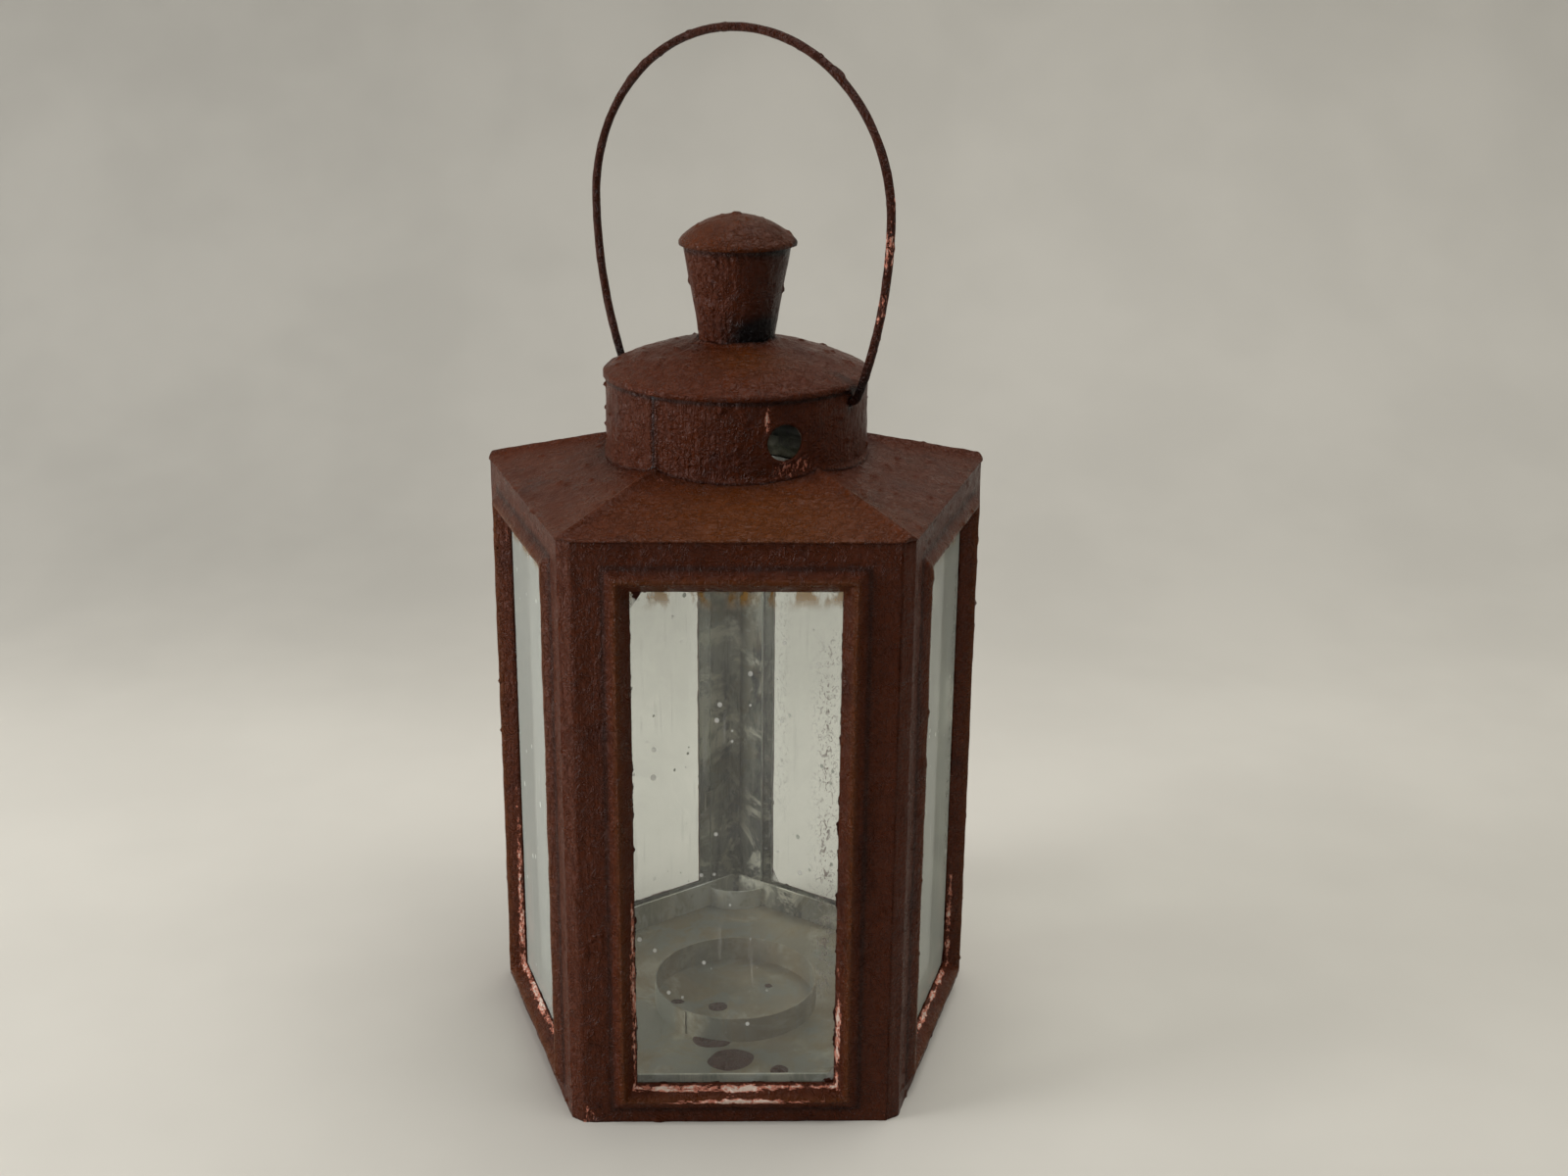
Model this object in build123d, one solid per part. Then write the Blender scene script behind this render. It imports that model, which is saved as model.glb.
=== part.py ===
from build123d import *
import math
import os

# Candle lantern: a five-sided tin case with four fixed glazed panels and a glazed door,
# a low faceted roof, a round vented collar with a domed lid, a flared chimney with a cap,
# a wire bail and a candle ring on a raised floor. Millimetres, +Z up. The origin is the
# centre of the case at the level of the panels' bottom edges, which the lantern stands on.
# The front panel faces -Y and the door is the back right face.

# ---- Case -------------------------------------------------------------------
SIDES = 5
SIDE_LENGTH = 110.0
WALL_HEIGHT = 207.5
SHEET = 0.8
CORNER_SETBACK = 3.2
LAP_WIDTH = 6.0

# ---- Pressed moulding round each window --------------------------------------
STILE_WIDTH = 21.5
BOTTOM_RAIL_WIDTH = 13.5
TOP_RAIL_WIDTH = 17.0
FLAT_BAND = 13.1
RIDGE_HEIGHT = 2.9
LIP_DEPTH = 2.5

# ---- Glass and its tabs -------------------------------------------------------
GLASS_THICKNESS = 2.0
GLASS_MARGIN = 5.0
TAB_SHEET = 0.5
TAB_WIDTH = 8.0
TAB_REACH = 3.0
TAB_EDGE_GAP = 1.0
TAB_LAP_GAP = 1.3
TAB_END_MARGIN = 36.0
DOOR_RAIL_TAB_OFFSET = 18.0
DOOR_RAIL_TAB_FOOT = 1.4

# ---- Floor ---------------------------------------------------------------------
FLOOR_LEVEL = 3.5
FLOOR_CORNER_CLIP = 10.5
RAIL_GLASS_GAP = 2.6
RAIL_TOP = 14.0
RAIL_FOOT = 6.0
RAIL_END_GAP = 1.5
CORNER_STRIP_WIDTH = 20.0
CORNER_STRIP_HEIGHT = 8.0
CORNER_STRIP_BULGE = 3.0
CORNER_STRIP_GAP = 0.5

# ---- Candle ring ---------------------------------------------------------------
RING_BORE_RADIUS = 30.0
RING_SHEET = 0.5
RING_HEIGHT = 9.5
RING_LAP_ANGLE = -134.0
RING_LAP_SPAN = 15.0

# ---- Door -----------------------------------------------------------------------
DOOR_EDGE_GAP = 1.0
DOOR_BACK_GAP = 0.35
DOOR_BOTTOM_GAP = 1.0
DOOR_TOP_GAP = 1.0
HINGE_POST_WIDTH = 15.5
LATCH_POST_WIDTH = 10.0
DOOR_HEAD_HEIGHT = 4.5
PULL_HEIGHT = 103.0
PULL_LENGTH = 11.0
PULL_WIDTH = 4.0
PULL_REACH = 5.0
PULL_TIP_RADIUS = 1.3
PULL_TIP_DROP = 1.8
PULL_FOOT_THICKNESS = 1.0

# ---- Hinges ----------------------------------------------------------------------
LOW_HINGE_HEIGHT = 42.0
HIGH_HINGE_DROP = 45.5
HINGE_AXIS_OFFSET = 1.6
HINGE_PIN_RADIUS = 1.2
HINGE_RUNNING_FIT = 0.05
HINGE_KNUCKLE_RADIUS = 2.2
HINGE_KNUCKLE_LENGTH = 8.0
HINGE_KNUCKLE_GAP = 0.35
HINGE_LEAF_SHEET = 0.8
HINGE_MOULDING_GAP = 1.6
HINGE_TONGUE_LIFT = 0.35
HINGE_TONGUE_OVERLAP = 2.0
HINGE_PIN_HEAD_RADIUS = 1.9
HINGE_PIN_HEAD = 0.8

# ---- Roof --------------------------------------------------------------------------
ROOF_SLOPE = 16.2
ROOF_OVERHANG = 0.6
ROOF_LIP_GAP = 0.05
ROOF_LIP_DROP = 4.5
ROOF_LEDGE = 1.0
ROOF_TOP_MARGIN = 6.6

# ---- Collar and lid ------------------------------------------------------------------
COLLAR_RADIUS = 44.5
COLLAR_SHEET = 0.7
COLLAR_HEIGHT = 38.1
SEAM_WIDTH = 4.0
SEAM_PROUD = 0.6
COLLAR_SEAM_ANGLE = -128.0
VENT_RADIUS = 6.0
VENT_COUNT = 3
VENT_DROP = 15.1
VENT_FIRST_ANGLE = -69.5
LID_FIT = 0.05
LID_RIM_HEIGHT = 1.8
LID_RISE = 10.6

# ---- Chimney and cap --------------------------------------------------------------------
CHIMNEY_SHEET = 0.6
CHIMNEY_BOTTOM_RADIUS = 12.5
CHIMNEY_TOP_RADIUS = 18.3
CHIMNEY_HEIGHT = 33.2
CHIMNEY_SEAM_ANGLE = -155.0
CAP_SHEET = 0.7
CAP_FIT = 0.4
CAP_RIM_HEIGHT = 1.6
CAP_RISE = 8.4
CAP_NUB_RADIUS = 1.6
CAP_NUB_HEIGHT = 1.2

# ---- Bail ---------------------------------------------------------------------------------
BAIL_WIRE_RADIUS = 1.5
BAIL_HOLE_CLEARANCE = 0.35
BAIL_DROP = 5.2
BAIL_ANGLE = -33.0
BAIL_BOW = 10.6
BAIL_LEAN = 21.0
BAIL_ELBOW_RADIUS = 3.0
BAIL_END_LENGTH = 5.0
BAIL_ELBOW_START = 0.1

# ---- Sizes that follow from the ones above ---------------------------------------------------
TURN = 360.0 / SIDES
HALF_TURN = TURN / 2
APOTHEM = SIDE_LENGTH / (2 * math.tan(math.radians(HALF_TURN)))
CORNER_RADIUS = SIDE_LENGTH / (2 * math.sin(math.radians(HALF_TURN)))
CORNER_FACET_DISTANCE = CORNER_RADIUS - CORNER_SETBACK * math.sin(math.radians(HALF_TURN))
# Across the sheet, the mitred end of a plate moves in by this much.
MITRE = SHEET * math.tan(math.radians(HALF_TURN / 2))
PLATE_HALF = SIDE_LENGTH / 2 - CORNER_SETBACK
# The moulding's two slopes share what the flat band between it and the corner leaves.
BEVEL_WIDTH = (STILE_WIDTH - FLAT_BAND) / 2
HINGE_LEAF_WIDTH = FLAT_BAND - HINGE_MOULDING_GAP
WINDOW_WIDTH = SIDE_LENGTH - 2 * STILE_WIDTH
WINDOW_BOTTOM = BOTTOM_RAIL_WIDTH
WINDOW_TOP = WALL_HEIGHT - TOP_RAIL_WIDTH
GLASS_FACE = LIP_DEPTH + SHEET
GLASS_BACK = GLASS_FACE + GLASS_THICKNESS
RAIL_APOTHEM = APOTHEM - GLASS_BACK - RAIL_GLASS_GAP - SHEET
POST_FACE = SHEET + DOOR_BACK_GAP
POST_BACK = POST_FACE + SHEET
ROOF_LIP_DEPTH = POST_BACK + ROOF_LIP_GAP
HINGE_LEVELS = (LOW_HINGE_HEIGHT, WALL_HEIGHT - HIGH_HINGE_DROP)
ROOF_HOLE_RADIUS = COLLAR_RADIUS - COLLAR_SHEET - ROOF_LEDGE
# The roof's five facets are carried on inside its round hole as far as this.
ROOF_TOP_APOTHEM = ROOF_HOLE_RADIUS * math.cos(math.radians(HALF_TURN)) - ROOF_TOP_MARGIN
COLLAR_TOP = WALL_HEIGHT + COLLAR_HEIGHT
VENT_LEVEL = COLLAR_TOP - VENT_DROP
BAIL_LEVEL = COLLAR_TOP - BAIL_DROP
LID_RIM_BOTTOM = COLLAR_TOP + COLLAR_SHEET - LID_RIM_HEIGHT
LID_RADIUS = COLLAR_RADIUS + LID_FIT + COLLAR_SHEET

# The faces, by the angle that turns the front face onto each of them about +Z.
FACE_TURN = {
    "front": 0.0,
    "right": TURN,
    "door": 2 * TURN,
    "back_left": 3 * TURN,
    "left": 4 * TURN,
}
FIXED_FACES = ("front", "right", "back_left", "left")
# Direction of the corner between the door and the back left panel, opposite the front face.
BACK_CORNER = 90.0
# A length that carries cutting shapes well past what they cut.
EXTRA = 20.0


def turned(shape, face):
    """The shape, made on the front face, on another face of the case."""
    return shape.rotate(Axis.Z, FACE_TURN[face])


def block(x_range, y_range, z_range):
    """A box given by its ranges."""
    sizes = [high - low for low, high in (x_range, y_range, z_range)]
    centre = [(high + low) / 2 for low, high in (x_range, y_range, z_range)]
    return Pos(*centre) * Box(*sizes)


def depth_range(start, end):
    """Y range of the front face for depths measured inwards from its plane."""
    return (-APOTHEM + start, -APOTHEM + end)


def plan_prism(points, bottom, top):
    """A prism over a plan outline."""
    outline = make_face(Polyline(*points, close=True))
    return Pos(0, 0, bottom) * extrude(outline, top - bottom)


def upright_rectangle(half_width, bottom, top, depth):
    """A rectangle parallel to the front face at a depth."""
    plane = Plane(origin=(0, -APOTHEM + depth, (bottom + top) / 2), x_dir=(1, 0, 0), z_dir=(0, -1, 0))
    return plane * Rectangle(2 * half_width, top - bottom)


def clipped_pentagon(apothem, corner_distance, bottom, top):
    """A five-sided prism with its corners cut off square to the lines to them."""
    faces = RegularPolygon(apothem, SIDES, major_radius=False, rotation=BACK_CORNER)
    turn = BACK_CORNER + HALF_TURN
    corners = RegularPolygon(corner_distance, SIDES, major_radius=False, rotation=turn)
    whole = extrude(faces, top - bottom)
    clip = extrude(corners, top - bottom)
    return Pos(0, 0, bottom) * (whole & clip)


# ---- Panels ------------------------------------------------------------------------------
def moulded_block(depth, bottom, top):
    """Everything behind the moulded face, with the face moved inwards by a depth."""
    window_half = WINDOW_WIDTH / 2
    ridge_half = window_half + BEVEL_WIDTH
    foot_half = ridge_half + BEVEL_WIDTH
    ridge_bottom = WINDOW_BOTTOM - BEVEL_WIDTH
    ridge_top = WINDOW_TOP + BEVEL_WIDTH
    body = block((-SIDE_LENGTH / 2, SIDE_LENGTH / 2), depth_range(depth, EXTRA), (bottom, top))
    foot = upright_rectangle(foot_half, ridge_bottom - BEVEL_WIDTH, ridge_top + BEVEL_WIDTH, depth)
    ridge = upright_rectangle(ridge_half, ridge_bottom, ridge_top, depth - RIDGE_HEIGHT)
    lip = upright_rectangle(window_half, WINDOW_BOTTOM, WINDOW_TOP, depth + LIP_DEPTH)
    raised = loft([foot, ridge])
    sunk = loft([ridge, lip])
    return body + raised - sunk


def moulded_plate(left_end, right_end, bottom, top):
    """The pressed sheet of one face with its window; the ends are plan x at the face and the back."""
    sheet = moulded_block(0, bottom, top) - moulded_block(SHEET, bottom, top)
    window = block(
        (-WINDOW_WIDTH / 2, WINDOW_WIDTH / 2), depth_range(-EXTRA, EXTRA), (WINDOW_BOTTOM, WINDOW_TOP)
    )
    front, back = depth_range(-EXTRA, EXTRA)
    slope_left = (left_end[1] - left_end[0]) / SHEET
    slope_right = (right_end[1] - right_end[0]) / SHEET
    trim = plan_prism(
        [
            (left_end[0] - slope_left * EXTRA, front),
            (right_end[0] - slope_right * EXTRA, front),
            (right_end[0] + slope_right * EXTRA, back),
            (left_end[0] + slope_left * EXTRA, back),
        ],
        bottom,
        top,
    )
    return (sheet - window) & trim


def corner_facet(side, flange_start, flange_width):
    """The folded corner strip at one end of a face, with its flange along the next face.

    side is -1 for the left end and 1 for the right end. The flange lies parallel to the next
    face, flange_start behind it, and reaches flange_width from the corner along it.
    """
    bend = math.radians(TURN)
    along = (side * math.cos(bend), math.sin(bend))
    inward = (-side * math.sin(bend), math.cos(bend))
    corner = (side * SIDE_LENGTH / 2, -APOTHEM)

    def on_next(distance, depth):
        """Plan point on the next face: distance from the corner along it, depth behind it."""
        x = corner[0] + along[0] * distance + inward[0] * depth
        y = corner[1] + along[1] * distance + inward[1] * depth
        return (x, y)

    facet = plan_prism(
        [
            (side * PLATE_HALF, -APOTHEM),
            on_next(CORNER_SETBACK, 0),
            on_next(CORNER_SETBACK + MITRE, SHEET),
            (side * (PLATE_HALF - MITRE), -APOTHEM + SHEET),
        ],
        0,
        WALL_HEIGHT,
    )
    # The flange starts inside the facet's own thickness, so that the two are one sheet.
    slope = 1 / math.tan(math.radians(HALF_TURN))
    flange_end = flange_start + SHEET
    flange = plan_prism(
        [
            on_next(CORNER_SETBACK + MITRE - flange_start * slope, flange_start),
            on_next(flange_width, flange_start),
            on_next(flange_width, flange_end),
            on_next(CORNER_SETBACK + MITRE - flange_end * slope, flange_end),
        ],
        0,
        WALL_HEIGHT,
    )
    return facet + flange


def fixed_panel(face):
    """One fixed panel: the pressed sheet and its folded corner strips."""
    mitred = (PLATE_HALF, PLATE_HALF - MITRE)
    plate = moulded_plate((-mitred[0], -mitred[1]), mitred, 0, WALL_HEIGHT)
    if face == "back_left":
        plate = plate + corner_facet(-1, POST_FACE, HINGE_POST_WIDTH)
    else:
        plate = plate + corner_facet(-1, SHEET, CORNER_SETBACK + LAP_WIDTH)
    if face == "right":
        plate = plate + corner_facet(1, POST_FACE, LATCH_POST_WIDTH)
    return turned(plate, face)


def glass_pane():
    """A pane behind the moulding's inner lip."""
    half = WINDOW_WIDTH / 2 + GLASS_MARGIN
    heights = (WINDOW_BOTTOM - GLASS_MARGIN, WINDOW_TOP + GLASS_MARGIN)
    return block((-half, half), depth_range(GLASS_FACE, GLASS_BACK), heights)


def stile_tab(side, level):
    """A bent tin tab from the back of a stile over the edge of the pane."""
    edge = WINDOW_WIDTH / 2 + GLASS_MARGIN
    riser = edge + TAB_EDGE_GAP
    heights = (level - TAB_WIDTH / 2, level + TAB_WIDTH / 2)
    leaf_back = GLASS_BACK + TAB_SHEET
    foot_end = SIDE_LENGTH / 2 - CORNER_SETBACK - LAP_WIDTH - TAB_LAP_GAP
    foot = block((riser, foot_end), depth_range(SHEET, SHEET + TAB_SHEET), heights)
    wall = block((riser, riser + TAB_SHEET), depth_range(SHEET, leaf_back), heights)
    leaf = block((edge - TAB_REACH, riser + TAB_SHEET), depth_range(GLASS_BACK, leaf_back), heights)
    tab = foot + wall + leaf
    if side < 0:
        tab = tab.mirror(Plane.YZ)
    return tab


def rail_tab(place, x_centre, foot_length):
    """A bent tin tab from the back of the door's top (1) or bottom (-1) rail."""
    if place > 0:
        edge = WINDOW_TOP + GLASS_MARGIN
    else:
        edge = WINDOW_BOTTOM - GLASS_MARGIN
    widths = (x_centre - TAB_WIDTH / 2, x_centre + TAB_WIDTH / 2)
    riser = edge + place * TAB_EDGE_GAP
    riser_end = riser + place * TAB_SHEET
    foot_end = rail_foot(place) + place * foot_length
    leaf_end = edge - place * TAB_REACH
    leaf_back = GLASS_BACK + TAB_SHEET
    foot = block(widths, depth_range(SHEET, SHEET + TAB_SHEET), sorted((riser, foot_end)))
    wall = block(widths, depth_range(SHEET, leaf_back), sorted((riser, riser_end)))
    leaf = block(widths, depth_range(GLASS_BACK, leaf_back), sorted((leaf_end, riser_end)))
    return foot + wall + leaf


def rail_foot(place):
    """Height at which a window's moulding ends on the top (1) or bottom (-1) rail."""
    moulding = 2 * BEVEL_WIDTH
    return WINDOW_TOP + moulding if place > 0 else WINDOW_BOTTOM - moulding


def fixed_tabs(face):
    """The four tabs that hold the pane of a fixed panel."""
    levels = (WINDOW_BOTTOM + TAB_END_MARGIN, WINDOW_TOP - TAB_END_MARGIN)
    tabs = [stile_tab(side, level) for side in (-1, 1) for level in levels]
    return turned(Compound(children=tabs), face)


# ---- Door ------------------------------------------------------------------------------------
DOOR_END = PLATE_HALF - DOOR_EDGE_GAP
DOOR_HEIGHTS = (DOOR_BOTTOM_GAP, WALL_HEIGHT - DOOR_TOP_GAP)


def door_frame():
    """The door's pressed sheet. Its hinge edge is at +X of the face and its free edge at -X."""
    return moulded_plate((-DOOR_END, -DOOR_END), (DOOR_END, DOOR_END), *DOOR_HEIGHTS)


def door_tabs():
    """Tabs on the door's free stile and on its two rails."""
    levels = (WINDOW_BOTTOM + TAB_END_MARGIN, WINDOW_TOP - TAB_END_MARGIN)
    tabs = [stile_tab(-1, level) for level in levels]
    for place in (-1, 1):
        for side in (-1, 1):
            tabs.append(rail_tab(place, side * DOOR_RAIL_TAB_OFFSET, DOOR_RAIL_TAB_FOOT))
    return Compound(children=tabs)


def door_head():
    """The strip behind the door's top edge, between the two posts."""
    left = -SIDE_LENGTH / 2 + LATCH_POST_WIDTH
    right = SIDE_LENGTH / 2 - HINGE_POST_WIDTH
    heights = (WALL_HEIGHT - DOOR_HEAD_HEIGHT, WALL_HEIGHT)
    return block((left, right), depth_range(POST_FACE, POST_BACK), heights)


def door_pull():
    """A drop-shaped pull, thickest low down, on a flat foot."""
    x_centre = -(DOOR_END + SIDE_LENGTH / 2 - FLAT_BAND) / 2
    foot_plane = Plane(origin=(x_centre, -APOTHEM, PULL_HEIGHT), x_dir=(1, 0, 0), z_dir=(0, -1, 0))
    foot = extrude(foot_plane * Ellipse(PULL_WIDTH / 2, PULL_LENGTH / 2), PULL_FOOT_THICKNESS)
    low = Pos(0, -PULL_TIP_DROP, PULL_REACH) * Circle(PULL_TIP_RADIUS)
    base = Pos(0, 0, PULL_FOOT_THICKNESS) * Ellipse(PULL_WIDTH / 2, PULL_LENGTH / 2)
    drop = loft([foot_plane * base, foot_plane * low])
    return foot + drop


# ---- Hinges ----------------------------------------------------------------------------------
# The axis stands outside both faces at the back corner by HINGE_AXIS_OFFSET.
HINGE_RADIUS = (APOTHEM + HINGE_AXIS_OFFSET) / math.cos(math.radians(HALF_TURN))
HINGE_AXIS_Y = HINGE_RADIUS
HINGE_ALONG = HINGE_AXIS_OFFSET * math.tan(math.radians(HALF_TURN))


def knuckle(bottom, top):
    """One hinge knuckle about the axis."""
    ring = Cylinder(HINGE_KNUCKLE_RADIUS, top - bottom) - hinge_bore(top - bottom)
    return Pos(0, HINGE_AXIS_Y, (bottom + top) / 2) * ring


def hinge_bore(length):
    """The running bore of a knuckle, longer than it by a margin."""
    return Cylinder(HINGE_PIN_RADIUS + HINGE_RUNNING_FIT, length + EXTRA)


def leaf_part(side, start, end, lift, heights):
    """A flat piece of a hinge leaf on a face, measured from the back corner along it.

    side is 1 for the door's face, where the corner is at +X, and -1 for the back left face.
    """
    x_range = sorted((side * (SIDE_LENGTH / 2 - start), side * (SIDE_LENGTH / 2 - end)))
    plate = block(x_range, depth_range(-lift - HINGE_LEAF_SHEET, -lift), heights)
    return turned(plate, "door" if side > 0 else "back_left")


def hinge_levels(level):
    """Bottom and top of each of the three knuckles of the hinge at a level."""
    pitch = HINGE_KNUCKLE_LENGTH + HINGE_KNUCKLE_GAP
    middles = [level + (number - 1) * pitch for number in range(3)]
    return [(middle - HINGE_KNUCKLE_LENGTH / 2, middle + HINGE_KNUCKLE_LENGTH / 2) for middle in middles]


def hinge_leaf(side, level, knuckles):
    """A hinge leaf: a plate on the face and a tongue to each of its knuckles."""
    spans = hinge_levels(level)
    plate_start = CORNER_SETBACK + DOOR_EDGE_GAP + HINGE_RUNNING_FIT
    tongue_end = plate_start + HINGE_TONGUE_OVERLAP
    leaf = leaf_part(side, plate_start, HINGE_LEAF_WIDTH, 0, (spans[0][0], spans[-1][1]))
    for number in knuckles:
        tongue = leaf_part(side, -HINGE_ALONG, tongue_end, HINGE_TONGUE_LIFT, spans[number])
        leaf = leaf + tongue + knuckle(*spans[number])
    bore = Pos(0, HINGE_AXIS_Y, level) * hinge_bore(spans[-1][1] - spans[0][0])
    return leaf - bore


def hinge_pin(level):
    """A hinge pin with a head at each end."""
    spans = hinge_levels(level)
    bottom, top = spans[0][0], spans[-1][1]
    shank = Pos(0, 0, (bottom + top) / 2) * Cylinder(HINGE_PIN_RADIUS, top - bottom + 2 * HINGE_PIN_HEAD)
    pin = shank
    for centre in (bottom - HINGE_PIN_HEAD / 2, top + HINGE_PIN_HEAD / 2):
        pin = pin + Pos(0, 0, centre) * Cylinder(HINGE_PIN_HEAD_RADIUS, HINGE_PIN_HEAD)
    return Pos(0, HINGE_AXIS_Y, 0) * pin


# ---- Floor -----------------------------------------------------------------------------------
def floor_outline(inset, bottom, top):
    """The floor's plan, moved in by an inset, and kept clear of the door's posts."""
    apothem = APOTHEM - SHEET
    corner = apothem / math.cos(math.radians(HALF_TURN))
    clip = corner - FLOOR_CORNER_CLIP * math.sin(math.radians(HALF_TURN))
    plan = clipped_pentagon(apothem - inset, clip - inset, bottom, top)
    doorway = block((-SIDE_LENGTH, SIDE_LENGTH), depth_range(-EXTRA, POST_BACK + inset), (bottom, top))
    return plan - turned(doorway, "door")


def base_tray():
    """The raised floor with its edge turned down to the level of the panels' bottom edges."""
    floor = floor_outline(0, FLOOR_LEVEL - SHEET, FLOOR_LEVEL)
    skirt = floor_outline(0, 0, FLOOR_LEVEL - SHEET) - floor_outline(SHEET, 0, FLOOR_LEVEL - SHEET)
    return floor + skirt


def floor_rail(face):
    """An angle strip on the floor that keeps the foot of a pane in."""
    half = RAIL_APOTHEM * math.tan(math.radians(HALF_TURN)) - RAIL_END_GAP
    inner = APOTHEM - RAIL_APOTHEM
    upright = block((-half, half), depth_range(inner - SHEET, inner), (FLOOR_LEVEL, RAIL_TOP))
    foot_heights = (FLOOR_LEVEL, FLOOR_LEVEL + SHEET)
    foot = block((-half, half), depth_range(inner - RAIL_FOOT, inner), foot_heights)
    return turned(upright + foot, face)


def corner_strip():
    """The bent strip on the floor across the back corner."""
    half = CORNER_STRIP_WIDTH / 2
    corner = (RAIL_APOTHEM / math.cos(math.radians(HALF_TURN))) - half * math.tan(math.radians(HALF_TURN))
    y_end = corner - CORNER_STRIP_GAP - SHEET
    y_middle = y_end - CORNER_STRIP_BULGE
    inner = ThreePointArc((-half, y_end), (0, y_middle), (half, y_end))
    outer = ThreePointArc((half, y_end + SHEET), (0, y_middle + SHEET), (-half, y_end + SHEET))
    ends = [Line(inner @ 1, outer @ 0), Line(outer @ 1, inner @ 0)]
    outline = make_face([inner, ends[0], outer, ends[1]])
    return Pos(0, 0, FLOOR_LEVEL) * extrude(outline, CORNER_STRIP_HEIGHT)


def curved_patch(radius, thickness, centre_angle, span, bottom, top):
    """A piece of tube wall about +Z."""
    height = top - bottom
    tube = Cylinder(radius + thickness, height) - Cylinder(radius, height)
    reach = 2 * (radius + thickness)
    half = math.radians(span / 2)
    wedge = plan_prism(
        [
            (0, 0),
            (reach * math.cos(-half), reach * math.sin(-half)),
            (reach * math.cos(half), reach * math.sin(half)),
        ],
        -height / 2,
        height / 2,
    )
    return (Pos(0, 0, (bottom + top) / 2) * (tube & wedge)).rotate(Axis.Z, centre_angle)


def candle_ring():
    """The rolled strip that holds the candle, with its ends lapped."""
    outer = RING_BORE_RADIUS + RING_SHEET
    top = FLOOR_LEVEL + RING_HEIGHT
    ring = Cylinder(outer, RING_HEIGHT) - Cylinder(RING_BORE_RADIUS, RING_HEIGHT)
    ring = Pos(0, 0, FLOOR_LEVEL + RING_HEIGHT / 2) * ring
    return ring + curved_patch(outer, RING_SHEET, RING_LAP_ANGLE, RING_LAP_SPAN, FLOOR_LEVEL, top)


# ---- Roof, collar and lid --------------------------------------------------------------------
def roof_pyramid(raise_by):
    """The solid under a roof surface, which is moved up by raise_by at the walls."""
    slope = math.tan(math.radians(ROOF_SLOPE))
    low_apothem = APOTHEM + EXTRA
    low = WALL_HEIGHT + raise_by - EXTRA * slope
    high = WALL_HEIGHT + raise_by + (APOTHEM - ROOF_TOP_APOTHEM) * slope
    base = Pos(0, 0, low) * RegularPolygon(low_apothem, SIDES, major_radius=False, rotation=BACK_CORNER)
    top = RegularPolygon(ROOF_TOP_APOTHEM, SIDES, major_radius=False, rotation=BACK_CORNER)
    peak = Pos(0, 0, high) * top
    return loft([base, peak])


ROOF_SHEET_RISE = SHEET / math.cos(math.radians(ROOF_SLOPE))


def roof():
    """Five low facets round a hole, with a lip turned down inside the walls."""
    skin = roof_pyramid(ROOF_SHEET_RISE) - roof_pyramid(0)
    edge_apothem = APOTHEM + ROOF_OVERHANG
    edge_corner = CORNER_FACET_DISTANCE + ROOF_OVERHANG
    skin = skin & clipped_pentagon(edge_apothem, edge_corner, WALL_HEIGHT - EXTRA, WALL_HEIGHT + 2 * EXTRA)
    lip_top = WALL_HEIGHT + ROOF_SHEET_RISE
    lip_outer = APOTHEM - ROOF_LIP_DEPTH
    lip_corner = CORNER_FACET_DISTANCE - SHEET - ROOF_LIP_DEPTH
    lip_bottom = WALL_HEIGHT - ROOF_LIP_DROP
    lip = clipped_pentagon(lip_outer, lip_corner, lip_bottom, lip_top)
    lip = lip - clipped_pentagon(lip_outer - SHEET, lip_corner - SHEET, lip_bottom, lip_top)
    hole = Pos(0, 0, WALL_HEIGHT) * Cylinder(ROOF_HOLE_RADIUS, 4 * EXTRA)
    return skin + lip - hole


def radial_hole(radius, angle, level):
    """A cylinder through the collar's wall along a radius."""
    drill = Cylinder(radius, 2 * EXTRA, rotation=(0, 90, 0))
    return (Pos(COLLAR_RADIUS, 0, level) * drill).rotate(Axis.Z, angle)


def collar():
    """The rolled strip between roof and lid: three vents, two bail holes and a folded seam."""
    bottom = WALL_HEIGHT
    height = COLLAR_TOP - bottom
    strip = Cylinder(COLLAR_RADIUS, height) - Cylinder(COLLAR_RADIUS - COLLAR_SHEET, height)
    strip = Pos(0, 0, bottom + height / 2) * strip
    seam_span = math.degrees(SEAM_WIDTH / COLLAR_RADIUS)
    strip = strip + curved_patch(
        COLLAR_RADIUS, SEAM_PROUD, COLLAR_SEAM_ANGLE, seam_span, bottom, LID_RIM_BOTTOM - LID_FIT
    )
    strip = strip - roof_pyramid(ROOF_SHEET_RISE)
    for number in range(VENT_COUNT):
        strip = strip - radial_hole(VENT_RADIUS, VENT_FIRST_ANGLE + number * 360 / VENT_COUNT, VENT_LEVEL)
    for angle in (BAIL_ANGLE, BAIL_ANGLE + 180):
        strip = strip - radial_hole(BAIL_WIRE_RADIUS + BAIL_HOLE_CLEARANCE, angle, BAIL_LEVEL)
    return strip


def dome_radius(base_radius, rise):
    """Radius of the sphere through a dome's edge and top."""
    return (base_radius**2 + rise**2) / (2 * rise)


def dome_height(base_radius, rise, radius):
    """Height of a dome above its edge at a radius."""
    sphere = dome_radius(base_radius, rise)
    return math.sqrt(sphere**2 - radius**2) - (sphere - rise)


def dome_solid(base_radius, rise, rim_height):
    """A solid dome over a short rim; the rim's top is at zero."""
    edge = math.sqrt(0.5) * base_radius
    arc = ThreePointArc(
        (base_radius, 0), (edge, dome_height(base_radius, rise, edge)), (0, rise)
    )
    down = Line((0, rise), (0, -rim_height))
    across = Line((0, -rim_height), (base_radius, -rim_height))
    up = Line((base_radius, -rim_height), (base_radius, 0))
    return revolve(Plane.XZ * make_face([arc, down, across, up]), Axis.Z)


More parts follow.
